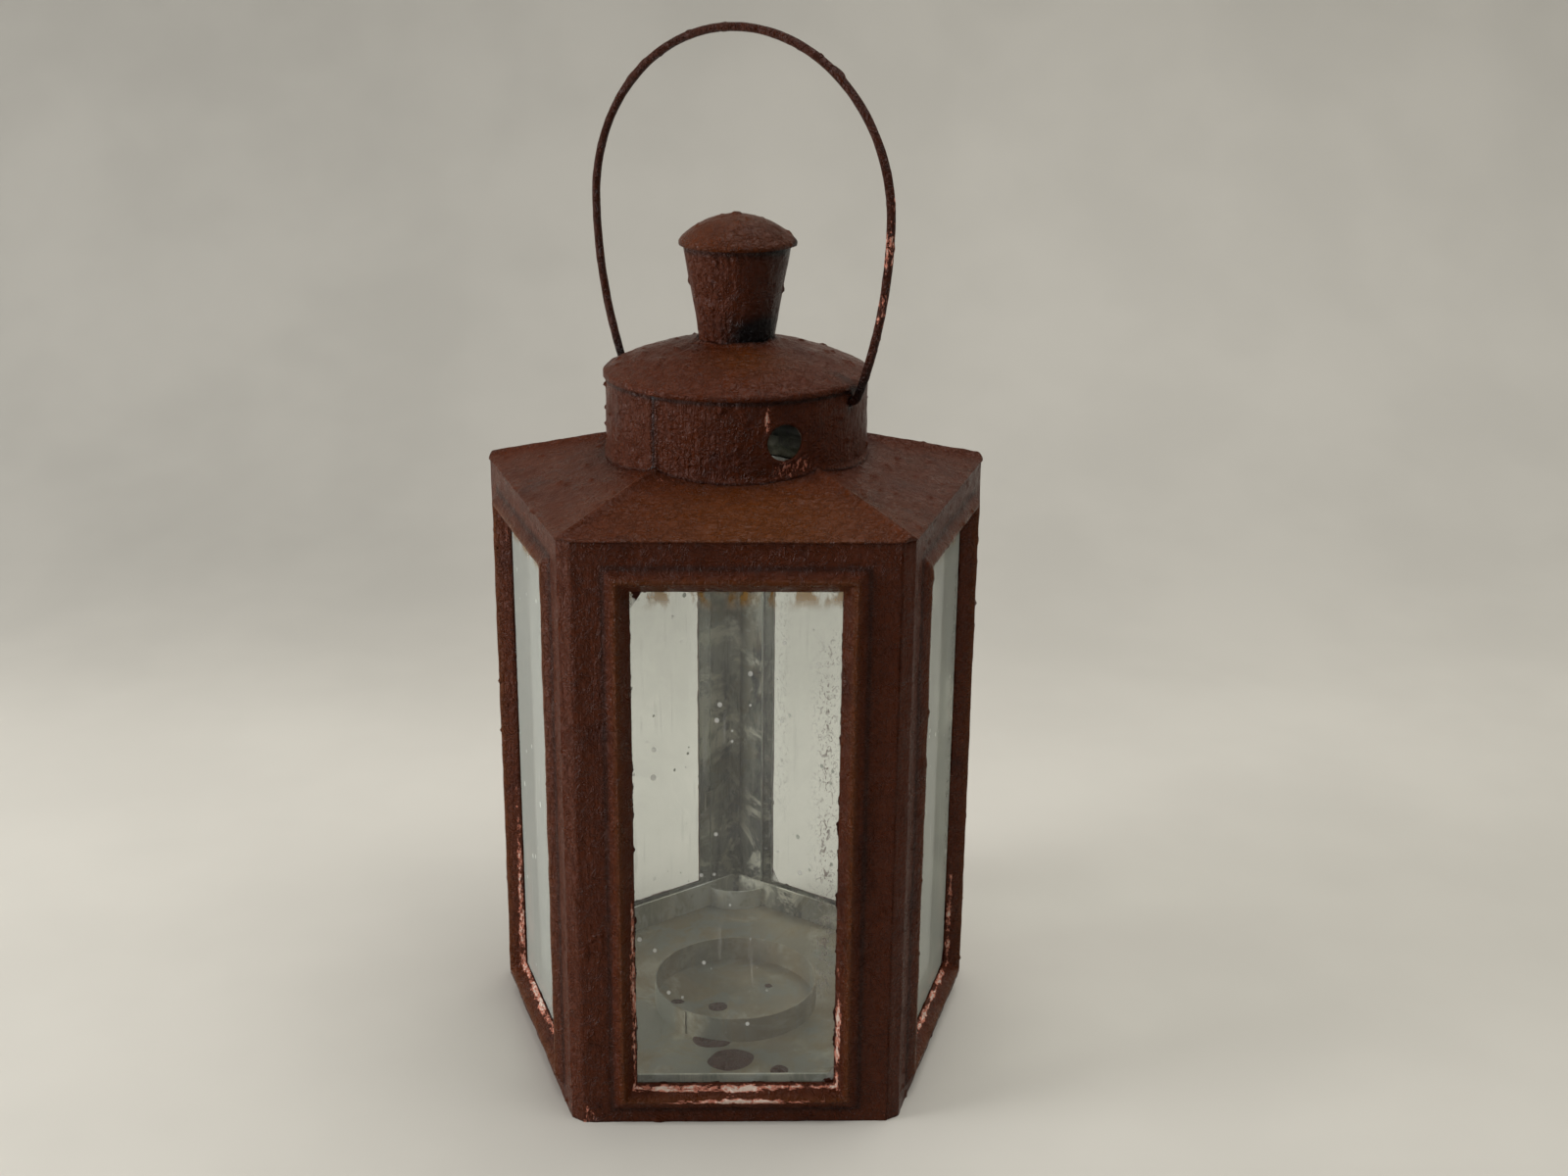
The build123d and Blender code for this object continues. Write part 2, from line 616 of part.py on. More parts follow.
def lid():
    """The domed lid with its short rim turned down over the collar."""
    outer = Pos(0, 0, COLLAR_TOP + COLLAR_SHEET) * dome_solid(LID_RADIUS, LID_RISE, LID_RIM_HEIGHT)
    inner_radius = LID_RADIUS - COLLAR_SHEET
    inner = Pos(0, 0, COLLAR_TOP) * dome_solid(inner_radius, LID_RISE, LID_RIM_HEIGHT)
    return outer - inner


CHIMNEY_BOTTOM = COLLAR_TOP + COLLAR_SHEET + dome_height(
    LID_RADIUS, LID_RISE, CHIMNEY_BOTTOM_RADIUS - CHIMNEY_SHEET
)
CHIMNEY_TOP = CHIMNEY_BOTTOM + CHIMNEY_HEIGHT


def cone_frustum(bottom_radius, top_radius, bottom, top):
    """A frustum about +Z between two levels."""
    return Pos(0, 0, (bottom + top) / 2) * Cone(bottom_radius, top_radius, top - bottom)


def chimney():
    """The flared rolled chimney with its lapped seam."""
    skin = cone_frustum(CHIMNEY_BOTTOM_RADIUS, CHIMNEY_TOP_RADIUS, CHIMNEY_BOTTOM, CHIMNEY_TOP)
    skin = skin - cone_frustum(
        CHIMNEY_BOTTOM_RADIUS - CHIMNEY_SHEET,
        CHIMNEY_TOP_RADIUS - CHIMNEY_SHEET,
        CHIMNEY_BOTTOM,
        CHIMNEY_TOP,
    )
    seam_top = CHIMNEY_TOP + CAP_SHEET - CAP_RIM_HEIGHT - CAP_FIT
    seam_radius = CHIMNEY_BOTTOM_RADIUS + SEAM_PROUD
    flare = (CHIMNEY_TOP_RADIUS - CHIMNEY_BOTTOM_RADIUS) / CHIMNEY_HEIGHT
    seam_top_radius = seam_radius + flare * (seam_top - CHIMNEY_BOTTOM)
    seam = cone_frustum(seam_radius, seam_top_radius, CHIMNEY_BOTTOM, seam_top)
    seam = seam - cone_frustum(
        seam_radius - CHIMNEY_SHEET - SEAM_PROUD / 2,
        seam_top_radius - CHIMNEY_SHEET - SEAM_PROUD / 2,
        CHIMNEY_BOTTOM,
        seam_top,
    )
    seam_widths = (-SEAM_WIDTH / 2, SEAM_WIDTH / 2)
    bar = block((0, 2 * CHIMNEY_TOP_RADIUS), seam_widths, (CHIMNEY_BOTTOM, CHIMNEY_TOP))
    return skin + (seam & bar.rotate(Axis.Z, CHIMNEY_SEAM_ANGLE))


CAP_RADIUS = CHIMNEY_TOP_RADIUS + CAP_FIT + CAP_SHEET


def chimney_cap():
    """The shallow domed cap with a small nub."""
    base = CHIMNEY_TOP - dome_height(CAP_RADIUS - CAP_SHEET, CAP_RISE, CHIMNEY_TOP_RADIUS) + CAP_SHEET
    outer = Pos(0, 0, base) * dome_solid(CAP_RADIUS, CAP_RISE, CAP_RIM_HEIGHT)
    inner = Pos(0, 0, base - CAP_SHEET) * dome_solid(CAP_RADIUS - CAP_SHEET, CAP_RISE, CAP_RIM_HEIGHT)
    nub_length = CAP_SHEET + CAP_NUB_HEIGHT
    nub = Pos(0, 0, base + CAP_RISE - CAP_SHEET + nub_length / 2) * Cylinder(CAP_NUB_RADIUS, nub_length)
    return outer - inner + nub


# ---- Bail ------------------------------------------------------------------------------------
def bail():
    """The wire handle: two turned-in ends, bowed arms and a half-round crown, in one wire."""
    start = COLLAR_RADIUS - COLLAR_SHEET - BAIL_END_LENGTH
    elbow = COLLAR_RADIUS + BAIL_ELBOW_START
    elbow_turn = 90 - BAIL_LEAN
    elbow_end = elbow + BAIL_ELBOW_RADIUS * math.sin(math.radians(elbow_turn))
    half_width = elbow_end + BAIL_BOW
    arm_radius = BAIL_BOW / (1 - math.cos(math.radians(BAIL_LEAN)))
    runs = [Line((start, 0), (elbow, 0))]
    turns = (
        (BAIL_ELBOW_RADIUS, elbow_turn),
        (arm_radius, BAIL_LEAN),
        (half_width, 180),
        (arm_radius, BAIL_LEAN),
        (BAIL_ELBOW_RADIUS, elbow_turn),
    )
    for radius, angle in turns:
        last = runs[-1]
        runs.append(JernArc(start=last @ 1, tangent=last % 1, radius=radius, arc_size=angle))
    end = runs[-1] @ 1
    runs.append(Line(end, (-start, end.Y)))
    path = Plane.XZ * Wire(runs)
    section = Plane(origin=path @ 0, z_dir=path % 0) * Circle(BAIL_WIRE_RADIUS)
    wire = sweep(section, path=path)
    return (Pos(0, 0, BAIL_LEVEL) * wire).rotate(Axis.Z, BAIL_ANGLE)


def all_parts():
    """Every node of the lantern by name."""
    parts = {}
    for face in FIXED_FACES:
        parts["panel_" + face] = fixed_panel(face)
        parts["glass_" + face] = turned(glass_pane(), face)
        parts["glass_tabs_" + face] = fixed_tabs(face)
        parts["floor_rail_" + face] = floor_rail(face)
    parts["door_sill"] = floor_rail("door")
    parts["door_head"] = turned(door_head(), "door")
    parts["door_frame"] = turned(door_frame(), "door")
    parts["door_glass"] = turned(glass_pane(), "door")
    parts["door_glass_tabs"] = turned(door_tabs(), "door")
    parts["door_pull"] = turned(door_pull(), "door")
    for name, side, knuckles in (("hinge_leaves_case", -1, (0, 2)), ("hinge_leaves_door", 1, (1,))):
        parts[name] = Compound(children=[hinge_leaf(side, level, knuckles) for level in HINGE_LEVELS])
    parts["hinge_pins"] = Compound(children=[hinge_pin(level) for level in HINGE_LEVELS])
    parts["base_tray"] = base_tray()
    parts["corner_strip"] = corner_strip()
    parts["candle_ring"] = candle_ring()
    parts["roof"] = roof()
    parts["collar"] = collar()
    parts["lid"] = lid()
    parts["chimney"] = chimney()
    parts["chimney_cap"] = chimney_cap()
    parts["bail"] = bail()
    return parts


os.makedirs("parts", exist_ok=True)
for node, shape in all_parts().items():
    export_step(shape, "parts/" + node + ".step")
    print(node, len(shape.solids()), "solids", round(shape.volume, 1), "mm3", shape.is_valid)
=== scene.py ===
import math

import bpy
import numpy as np
from bpy.props import FloatProperty, FloatVectorProperty, PointerProperty
from mathutils import Matrix, Vector


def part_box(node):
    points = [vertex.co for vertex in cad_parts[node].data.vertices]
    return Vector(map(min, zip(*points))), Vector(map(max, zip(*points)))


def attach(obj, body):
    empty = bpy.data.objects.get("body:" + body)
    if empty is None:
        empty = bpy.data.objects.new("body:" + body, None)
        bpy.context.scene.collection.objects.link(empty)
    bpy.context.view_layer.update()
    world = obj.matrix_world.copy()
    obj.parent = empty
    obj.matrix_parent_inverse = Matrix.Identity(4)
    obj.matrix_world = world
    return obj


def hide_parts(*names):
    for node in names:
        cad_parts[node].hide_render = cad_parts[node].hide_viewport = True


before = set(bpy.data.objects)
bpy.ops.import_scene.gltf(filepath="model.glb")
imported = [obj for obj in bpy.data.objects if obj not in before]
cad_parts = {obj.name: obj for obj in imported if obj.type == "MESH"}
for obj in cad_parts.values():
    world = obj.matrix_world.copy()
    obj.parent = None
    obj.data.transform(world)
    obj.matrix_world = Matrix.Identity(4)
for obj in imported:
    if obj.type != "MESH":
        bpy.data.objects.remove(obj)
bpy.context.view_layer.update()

bl_info = {
    "name": "Five-Sided Candle Lantern",
    "version": (1, 0, 0),
    "blender": (4, 5, 0),
    "location": "3D View > Sidebar > Lantern",
    "description": "Brushed paint, old glass and bare tin for a five-sided candle lantern",
    "category": "Object",
}

MM = 0.001
FACE_TURNS = {"front": 0, "right": 72, "door": 144, "back_left": 216, "left": 288}
FIXED_FACES = ("front", "right", "back_left", "left")
HALF_TURN = math.radians(36)  # half the turn from one face to the next
PANEL_LOW, PANEL_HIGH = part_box("panel_front")
LID_LOW, LID_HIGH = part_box("lid")
CHIMNEY_LOW, CHIMNEY_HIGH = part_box("chimney")
CAP_LOW, CAP_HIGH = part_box("chimney_cap")
GLASS_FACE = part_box("glass_front")[0].y
TRAY_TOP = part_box("base_tray")[1].z
ROOF_SLOPE = math.tan(math.radians(16.2))
DOOR_GAP = 1 * MM
BAIL_TURN = -33  # from +X to the bail's right-hand hole, in degrees
BAIL_DROP = 5.2 * MM  # from the collar's upper edge down to the bail's holes
BAIL_HOLE = 1.85 * MM
SEAM_TURN = -128
VENT_TURNS = (-69.5, 50.5, 170.5)
VENT_DROP, VENT_RADIUS = 15.1 * MM, 6 * MM
LID_RISE, CAP_RISE = 10.6 * MM, 8.4 * MM
CHIMNEY_RADII = (12.5 * MM, 18.3 * MM)
LAP_TURN = -155  # the chimney's lapped seam
POST_DEPTH = 1.15 * MM  # how far the post's strips lie behind the face
POST_REACH, LAP_REACH, LATCH_REACH = 15.5 * MM, 9.2 * MM, 10 * MM
FILM_GAP = 0.08 * MM
HIP_BEAD, HIP_WIDTH = 1.3 * MM, 1.5 * MM
SOOT_LEVELS = (188 * MM, 206 * MM)  # over this stretch the inside goes black
LAMP_BLACK = (0.008, 0.008, 0.007)
SHADE_DEPTH = 0.56  # how much of the floor's colour is left in its darkest shade


# ---- Settings -----------------------------------------------------------------------


def length(name, description, default):
    """A size setting in metres."""
    return FloatProperty(
        name=name, description=description, default=default, precision=5, subtype="DISTANCE", unit="LENGTH"
    )


def colour(name, description, default):
    """A colour setting."""
    return FloatVectorProperty(
        name=name, description=description, default=default, size=3, min=0, max=1, subtype="COLOR"
    )


class LanternSizes(bpy.types.PropertyGroup):
    """Sizes of the tinwork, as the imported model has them"""

    side: length("Side", "Length of one side of the case", 110 * MM)
    wall_height: length("Wall height", "Height of the panels", PANEL_HIGH.z - PANEL_LOW.z)
    sheet: length("Sheet", "Thickness of the pressed sheet with its paint", 0.8 * MM)
    setback: length("Corner setback", "From a corner to where the sheet folds", 3.2 * MM)
    stile: length("Stile", "From a corner to the window", 21.5 * MM)
    bottom_rail: length("Bottom rail", "From the bottom edge to the window", 13.5 * MM)
    top_rail: length("Top rail", "From the window to the top edge", 17 * MM)
    bevel: length("Bevel", "Width of each slope of the moulding", 4.2 * MM)
    ridge: length("Ridge", "How far the moulding stands out", 2.9 * MM)
    lip: length("Lip", "How far the window's lip lies behind the face", 2.5 * MM)
    rounding: length("Rounding", "Half the width of the moulding's rounded edges", 0.3 * MM)
    collar_radius: length("Collar radius", "Outer radius of the collar", 44.5 * MM)
    collar_sheet: length("Collar sheet", "Thickness of the collar and the lid", 0.7 * MM)
    collar_top: length("Collar top", "Height of the collar's upper edge", 245.6 * MM)
    wire: length("Wire radius", "Radius of the bail's wire", 1.5 * MM)


class LanternPaint(bpy.types.PropertyGroup):
    """How thick, rough and worn the paint is"""

    relief: length("Paint relief", "Height of the lumps in the brushed paint", 0.36 * MM)
    paint: colour("Paint", "Main colour of the paint", (0.071, 0.0136, 0.0025))
    # Besides where paint lies thick, this colour is laid as painted shade in the hollows of the brushed relief.
    deep_paint_and_shade: colour("Deep paint", "Paint where it lies thick", (0.040, 0.0064, 0.0014))
    # Laid warmer towards the front of the roof and the lid, along the mouldings' ridges and lightly over the
    # cap.
    paint_warm: colour("Warm paint", "Paint where it has turned orange", (0.100, 0.0265, 0.0028))
    undercoat: colour("Undercoat", "Salmon undercoat in the chips", (0.60, 0.215, 0.14))
    primer: colour("Primer", "Pale primer in the deepest chips", (0.74, 0.58, 0.48))
    # Near-black for soot and open seams, also laid as painted shade in creases, under the lid and the cap, and
    # on the chimney's right side.
    soot_and_shade: colour("Soot", "Soot and open seams", (0.006, 0.004, 0.004))


class LanternTin(bpy.types.PropertyGroup):
    """Colours of the bare metal and of the glass"""

    tin: colour("Tin", "Dull tinned sheet", (0.29, 0.285, 0.235))
    tin_dark: colour("Dark tin", "Stained tinned sheet", (0.040, 0.042, 0.040))
    blotch_tin: colour("Blotched tin", "Grey blotches on the pale strips", (0.43, 0.42, 0.34))
    tin_pale: colour("Pale tin", "White bloom on the sheet", (0.74, 0.70, 0.59))
    ochre: colour("Ochre", "Old rust tint", (0.30, 0.22, 0.11))
    rust: colour("Rust", "Rust that has run on to the glass", (0.40, 0.21, 0.045))
    dust: colour("Dust", "Dust and lime on the glass", (0.72, 0.72, 0.68))
    # Partly dust and partly a painted reflection of the bright room on the side panes.
    side_dust_and_reflection: colour("Side dust", "Thick dust on the two side panes", (0.56, 0.58, 0.52))
    warm_tin: colour("Warm tin", "Tinned sheet with a breath of rust", (0.31, 0.25, 0.16))
    glass: colour("Glass", "Tint of the panes", (0.93, 0.95, 0.93))


class LanternStage(bpy.types.PropertyGroup):
    """Floor, light and camera"""

    floor: colour("Floor", "Colour of the floor and the backdrop", (0.62, 0.595, 0.53))
    key: FloatProperty(
        name="Ceiling light", description="Power of the large soft light", default=29.0, min=0, unit="POWER"
    )
    window: FloatProperty(
        name="Window light", description="The window's power as a share of the ceiling's", default=0.5, min=0
    )
    fill: FloatProperty(name="Room light", description="Strength of the even light", default=0.11, min=0)
    lens: FloatProperty(name="Lens", description="Focal length in millimetres", default=44.22, min=10)
    height: length("Camera height", "Height of the camera over the floor", 382.4 * MM)
    distance: length("Camera distance", "From the camera to the lantern's middle", 644.1 * MM)


# ---- Mesh helpers ---------------------------------------------------------------------


def lattice_noise(points, lump, seed):
    """Smooth noise from -1 to 1 with lumps of a given size."""
    place = points / lump + seed * 13.7
    cell = np.floor(place).astype(np.int64)
    part = place - cell
    part = part * part * (3 - 2 * part)
    total = np.zeros(len(points))
    for corner in range(8):
        step = np.array([corner & 1, corner >> 1 & 1, corner >> 2 & 1])
        c = cell + step
        code = (c[:, 0] * 73856093) ^ (c[:, 1] * 19349663) ^ (c[:, 2] * 83492791) ^ (seed * 2654435)
        code = (code ^ (code >> 13)) * 1274126177 & 0x7FFFFFFF
        code = (code ^ (code >> 11)) % 10007
        total += (code / 5003.0 - 1) * np.prod(np.where(step, part, 1 - part), axis=1)
    return total


def brushed(points, seed, stretch=(1, 1, 1)):
    """Height of hand-brushed paint: lumps, strokes and a few runs."""
    strokes = points * np.array(stretch)
    height = 0.3 * lattice_noise(points, 7 * MM, seed)
    height += 0.45 * lattice_noise(strokes, 2.8 * MM, seed + 1)
    height += 0.3 * lattice_noise(strokes, 1.5 * MM, seed + 2)
    pimples = np.clip(lattice_noise(points, 2.8 * MM, seed + 3) - 0.7, 0, 1)
    return height + 9 * pimples


def spans(*marks):
    """Stops from (start, end, step) stretches that follow each other."""
    counts = [max(1, round(abs(b - a) / step)) for a, b, step in marks]
    stops = [np.linspace(a, b, count, endpoint=False) for (a, b, _), count in zip(marks, counts)]
    return np.append(np.concatenate(stops), marks[-1][1])


def grid_quads(rows, columns, closed=False):
    """Quads of a grid of points, row by row."""
    index = np.arange(rows * columns).reshape(rows, columns)
    if closed:
        index = np.hstack([index, index[:, :1]])
    corners = (index[:-1, :-1], index[:-1, 1:], index[1:, 1:], index[1:, :-1])
    return np.stack(corners, -1).reshape(-1, 4)


def rim_of(quads, count):
    """Edges that only one quad uses, in that quad's direction."""
    edges = np.concatenate([quads[:, [k, (k + 1) % 4]] for k in range(4)])
    low, high = edges.min(1), edges.max(1)
    _, first, uses = np.unique(low * count + high, return_index=True, return_counts=True)
    return edges[first[uses == 1]]


def make_mesh(name, points, quads, materials, material_index=None, marks=None):
    """A smooth mesh object from numpy points and quads, with its named point attributes."""
    used = np.unique(quads)
    renumber = np.full(len(points), -1)
    renumber[used] = np.arange(len(used))
    quads = renumber[quads]
    mesh = bpy.data.meshes.new(name)
    mesh.vertices.add(len(used))
    mesh.vertices.foreach_set("co", points[used].ravel())
    mesh.loops.add(quads.size)
    mesh.loops.foreach_set("vertex_index", quads.ravel())
    mesh.polygons.add(len(quads))
    mesh.polygons.foreach_set("loop_start", np.arange(len(quads)) * 4)
    for material in materials:
        mesh.materials.append(material)
    if material_index is not None:
        mesh.polygons.foreach_set("material_index", material_index)
    mesh.update(calc_edges=True)
    mesh.validate()
    mesh.polygons.foreach_set("use_smooth", np.ones(len(mesh.polygons), bool))
    for key, values in (marks or {}).items():
        layer = mesh.attributes.new(key, "FLOAT", "POINT")
        layer.data.foreach_set("value", values[used].astype(np.float32))
    piece = bpy.data.objects.new(name, mesh)
    bpy.context.scene.collection.objects.link(piece)
    return piece


def closed_sheet(outer, inner, quads):
    """Points and quads of a closed thin sheet: its outer face, its inner face and its rim."""
    count = len(outer)
    edges = rim_of(quads, count)
    rim = np.stack([edges[:, 1], edges[:, 0], edges[:, 0] + count, edges[:, 1] + count], -1)
    return np.concatenate([outer, inner]), np.concatenate([quads, quads[:, ::-1] + count, rim])


def sheet_piece(name, outer, inner, quads, marks, inside="aged_tin"):
    """A painted sheet: its outer face and edges are painted and its inner face is bare tin."""
    points, faces = closed_sheet(outer, inner, quads)
    index = np.zeros(len(faces), int)
    index[len(quads) : 2 * len(quads)] = 1
    doubled = {key: np.concatenate([values, values * 0]) for key, values in marks.items()}
    materials = (bpy.data.materials["brushed_paint"], bpy.data.materials[inside])
    return make_mesh(name, points, faces, materials, index, doubled)


def settle(piece, body, slot, *nodes):
    """Puts a piece on its body and lets it stand for CAD nodes, which it hides. Its slot is not used."""
    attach(piece, body)
    if nodes:
        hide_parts(*nodes)
    return piece


def turn_points(points, degrees):
    """Points turned about the lantern's upright axis."""
    return points @ np.array(Matrix.Rotation(math.radians(degrees), 3, "Z")).T


def near(values, centre, width):
    """A smooth bump of height 1 at a centre."""
    return np.exp(-(((values - centre) / width) ** 2))


def rising(values, start, end):
    """A smooth step from 0 at start to 1 at end."""
    t = np.clip((values - start) / (end - start), 0, 1)
    return t * t * (3 - 2 * t)


def angle_from(angle, degrees):
    """Signed angle from a direction, in radians."""
    return np.mod(angle - math.radians(degrees) + math.pi, 2 * math.pi) - math.pi


def paint_marks(like, wear=0, across=0, soot_and_shade=0, warm=0):
    """The point attributes that the paint reads, one value for each item of like."""
    given = {"wear": wear, "across": across, "soot_and_shade": np.clip(soot_and_shade, 0, 1), "warm": warm}
    return {key: value + 0 * like for key, value in given.items()}


# ---- Shader helpers ---------------------------------------------------------------------


class Nodes:
    """A short way to write a node tree."""

    def __init__(self, tree):
        self.tree = tree

    def add(self, kind, operation=None, **inputs):
        """A new node, with inputs set by name or, as _0 or _1, by number."""
        node = self.tree.nodes.new("ShaderNode" + kind)
        if operation is not None:
            node.operation = operation
        for key, value in inputs.items():
            slot = int(key[1:]) if key[1:].isdigit() else key.replace("_", " ")
            self.put(node.inputs[slot], value)
        return node

    def put(self, socket, value):
        """Links an output to a socket, or sets its value."""
        if isinstance(value, bpy.types.NodeSocket):
            self.tree.links.new(value, socket)
        elif isinstance(value, bpy.types.Node):
            self.tree.links.new(value.outputs[0], socket)
        elif socket.type == "RGBA" and len(value) == 3:
            socket.default_value = (*value, 1)
        else:
            socket.default_value = value

    def maths(self, operation, a, b=0.0, clamp=False):
        """One sum of two values."""
        node = self.add("Math", operation, _0=a, _1=b)
        node.use_clamp = clamp
        return node.outputs[0]

    def stretched(self, vector, scale, shift=(0, 0, 0)):
        """Places stretched along each axis, then moved."""
        node = self.add("Mapping", Vector=vector, Scale=scale, Location=shift)
        return node.outputs[0]

    def noise(self, vector, scale, detail=3.0, rough=0.55, distortion=0.0):
        """Cloudy noise from 0 to 1."""
        node = self.add("TexNoise", Vector=vector, Scale=scale)
        for key, value in (("Detail", detail), ("Roughness", rough), ("Distortion", distortion)):
            node.inputs[key].default_value = value
        return node.outputs[0]

    def dots(self, vector, scale):
        """Scattered points: the distance to the nearest one, and its own colour."""
        return self.add("TexVoronoi", Vector=vector, Scale=scale)

    def ramp(self, value, low, high, bottom=0.0, top=1.0):
        """Maps low..high to bottom..top, held at both ends."""
        node = self.add("MapRange", _0=value, _1=low, _2=high, _3=bottom, _4=top)
        node.interpolation_type = "SMOOTHSTEP"
        return node.outputs[0]

    def mix(self, amount, first, second):
        """One colour laid over another."""
        node = self.add("Mix")
        node.data_type = "RGBA"
        self.put(node.inputs[0], amount)
        self.put(node.inputs[6], first)
        self.put(node.inputs[7], second)
        return node.outputs[2]

    def mark(self, name):
        """A point attribute of the piece."""
        node = self.add("Attribute")
        node.attribute_name = name
        return node.outputs[2]


def new_group(name, inputs, outputs):
    """A shader node group with its sockets; returns its Nodes, its input node and its output node."""
    tree = bpy.data.node_groups.new(name, "ShaderNodeTree")
    for direction, sockets in (("INPUT", inputs), ("OUTPUT", outputs)):
        for socket_name, kind, default in sockets:
            socket_type = "NodeSocket" + kind
            socket = tree.interface.new_socket(socket_name, in_out=direction, socket_type=socket_type)
            if default is not None:
                socket.default_value = default
    return Nodes(tree), tree.nodes.new("NodeGroupInput"), tree.nodes.new("NodeGroupOutput")


def use_group(nodes, name, **inputs):
    """Places a node group and sets its inputs."""
    node = nodes.tree.nodes.new("ShaderNodeGroup")
    node.node_tree = bpy.data.node_groups[name]
    for key, value in inputs.items():
        nodes.put(node.inputs[key.replace("_", " ")], value)
    return node


def new_material(name):
    """A material with its Principled node; returns its Nodes and that node."""
    material = bpy.data.materials.new(name)
    material.use_nodes = True
    shader = material.node_tree.nodes["Principled BSDF"]
    return Nodes(material.node_tree), shader


def build_brush_strokes():
    """Strokes and wrinkles of thick paint laid on with a coarse brush."""
    n, given, out = new_group(
        "Brush Strokes",
        (("Vector", "Vector", None), ("Across", "Float", 0.0), ("Wrinkle", "Float", 1.0)),
        (("Height", "Float", None), ("Blotch", "Float", None)),
    )
    place = given.outputs["Vector"]
    upright = n.noise(n.stretched(place, (1, 1, 0.12)), 900, 2, 0.6)
    level = n.noise(n.stretched(place, (0.14, 0.14, 1)), 900, 2, 0.6)
    strokes = n.add("Mix", _0=given.outputs["Across"], _2=upright, _3=level).outputs[0]
    crumple = n.noise(place, 420, 4, 0.62, 0.8)
    ridges = n.maths("ABSOLUTE", n.maths("SUBTRACT", n.noise(place, 230, 3, 0.6, 1.2), 0.5))
    wrinkles = n.maths("MULTIPLY", n.ramp(ridges, 0.0, 0.05, 1, 0), given.outputs["Wrinkle"])
    pimples = n.dots(place, 260)
    raised = n.ramp(pimples.outputs["Distance"], 0.05, 0.22, 1, 0)
    raised = n.maths("MULTIPLY", raised, n.ramp(n.noise(place, 60, 1), 0.55, 0.7))
    total = n.maths("ADD", n.maths("MULTIPLY", strokes, 0.45), n.maths("MULTIPLY", crumple, 0.8))
    total = n.maths("ADD", total, n.maths("MULTIPLY", wrinkles, 0.35))
    total = n.maths("ADD", total, n.maths("MULTIPLY", raised, 0.5))
    n.put(out.inputs["Height"], total)
    n.put(out.inputs["Blotch"], n.noise(place, 45, 4, 0.6, 0.4))


def build_paint_chips():
    """Where paint has flaked: a wide mask down to the undercoat and a small one down to the primer."""
    n, given, out = new_group(
        "Paint Chips",
        (("Vector", "Vector", None), ("Wear", "Float", 0.0), ("Across", "Float", 0.0)),
        (("Chip", "Float", None), ("Core", "Float", None)),
    )
    place = given.outputs["Vector"]
    wear = given.outputs["Wear"]
    upright = n.noise(n.stretched(place, (1, 1, 0.4)), 1000, 4, 0.75, 0.6)
    level = n.noise(n.stretched(place, (0.3, 0.3, 1)), 1000, 4, 0.75, 0.6)
    flakes = n.add("Mix", _0=given.outputs["Across"], _2=upright, _3=level).outputs[0]
    zones = n.noise(place, 85, 2, 0.5)
    mixed = n.maths("ADD", n.maths("MULTIPLY", flakes, 0.62), n.maths("MULTIPLY", zones, 0.38))
    edge = n.maths("SUBTRACT", 0.82, n.maths("MULTIPLY", wear, 0.30))
    depth = n.maths("SUBTRACT", mixed, edge)
    n.put(out.inputs["Chip"], n.ramp(depth, 0.0, 0.012))
    n.put(out.inputs["Core"], n.ramp(depth, 0.066, 0.08))


def build_mottling():
    """Cloudy patches with ragged edges, stretched downwards, as on old tin."""
    n, given, out = new_group(
        "Mottling",
        (("Vector", "Vector", None), ("Size", "Float", 60.0)),
        (("Patches", "Float", None), ("Runs", "Float", None), ("Grit", "Float", None)),
    )
    place = given.outputs["Vector"]
    size = given.outputs["Size"]
    n.put(out.inputs["Patches"], n.ramp(n.noise(place, size, 6, 0.7, 0.6), 0.43, 0.58))
    n.put(out.inputs["Runs"], n.ramp(n.noise(n.stretched(place, (1, 1, 0.2)), size, 6, 0.7, 0.4), 0.44, 0.57))
    n.put(out.inputs["Grit"], n.noise(place, 1100, 3, 0.7))


def build_paint(name, wrinkle, wear_floor, colours):
    """Thick brushed paint with its chips, soot and dirt."""
    n, shader = new_material(name)
    place = n.add("TexCoord").outputs["Object"]
    across = n.mark("across")
    strokes = use_group(n, "Brush Strokes", Vector=place, Across=across, Wrinkle=wrinkle)
    wear = n.maths("ADD", n.mark("wear"), wear_floor)
    chips = use_group(n, "Paint Chips", Vector=place, Wear=wear, Across=across)
    body = n.mix(n.ramp(strokes.outputs["Blotch"], 0.2, 0.5), colours.deep_paint_and_shade, colours.paint)
    body = n.mix(n.mark("warm"), body, colours.paint_warm)
    # Painted shade: the deep paint colour is laid in the low places between the brushed lumps.
    crest = n.ramp(strokes.outputs["Height"], 0.42, 0.62)
    body = n.mix(n.maths("MULTIPLY", n.maths("SUBTRACT", 1, crest), 0.3), body, colours.deep_paint_and_shade)
    # This mark lays soot on the seams and painted shade in creases and under overhangs.
    body = n.mix(n.mark("soot_and_shade"), body, colours.soot_and_shade)
    body = n.mix(chips.outputs["Chip"], body, colours.undercoat)
    body = n.mix(chips.outputs["Core"], body, colours.primer)
    n.put(shader.inputs["Base Color"], body)
    gloss = n.ramp(n.noise(place, 130, 3), 0.3, 0.7, 0.22, 0.42)
    bare = n.maths("MULTIPLY", chips.outputs["Chip"], 0.75)
    n.put(shader.inputs["Roughness"], n.maths("MAXIMUM", gloss, bare))
    height = n.maths("SUBTRACT", strokes.outputs["Height"], n.maths("MULTIPLY", chips.outputs["Chip"], 0.4))
    bump = n.add("Bump", Height=height, Strength=1.0, Distance=1.35 * MM)
    n.put(shader.inputs["Normal"], bump)
    shader.inputs["Specular IOR Level"].default_value = 0.15


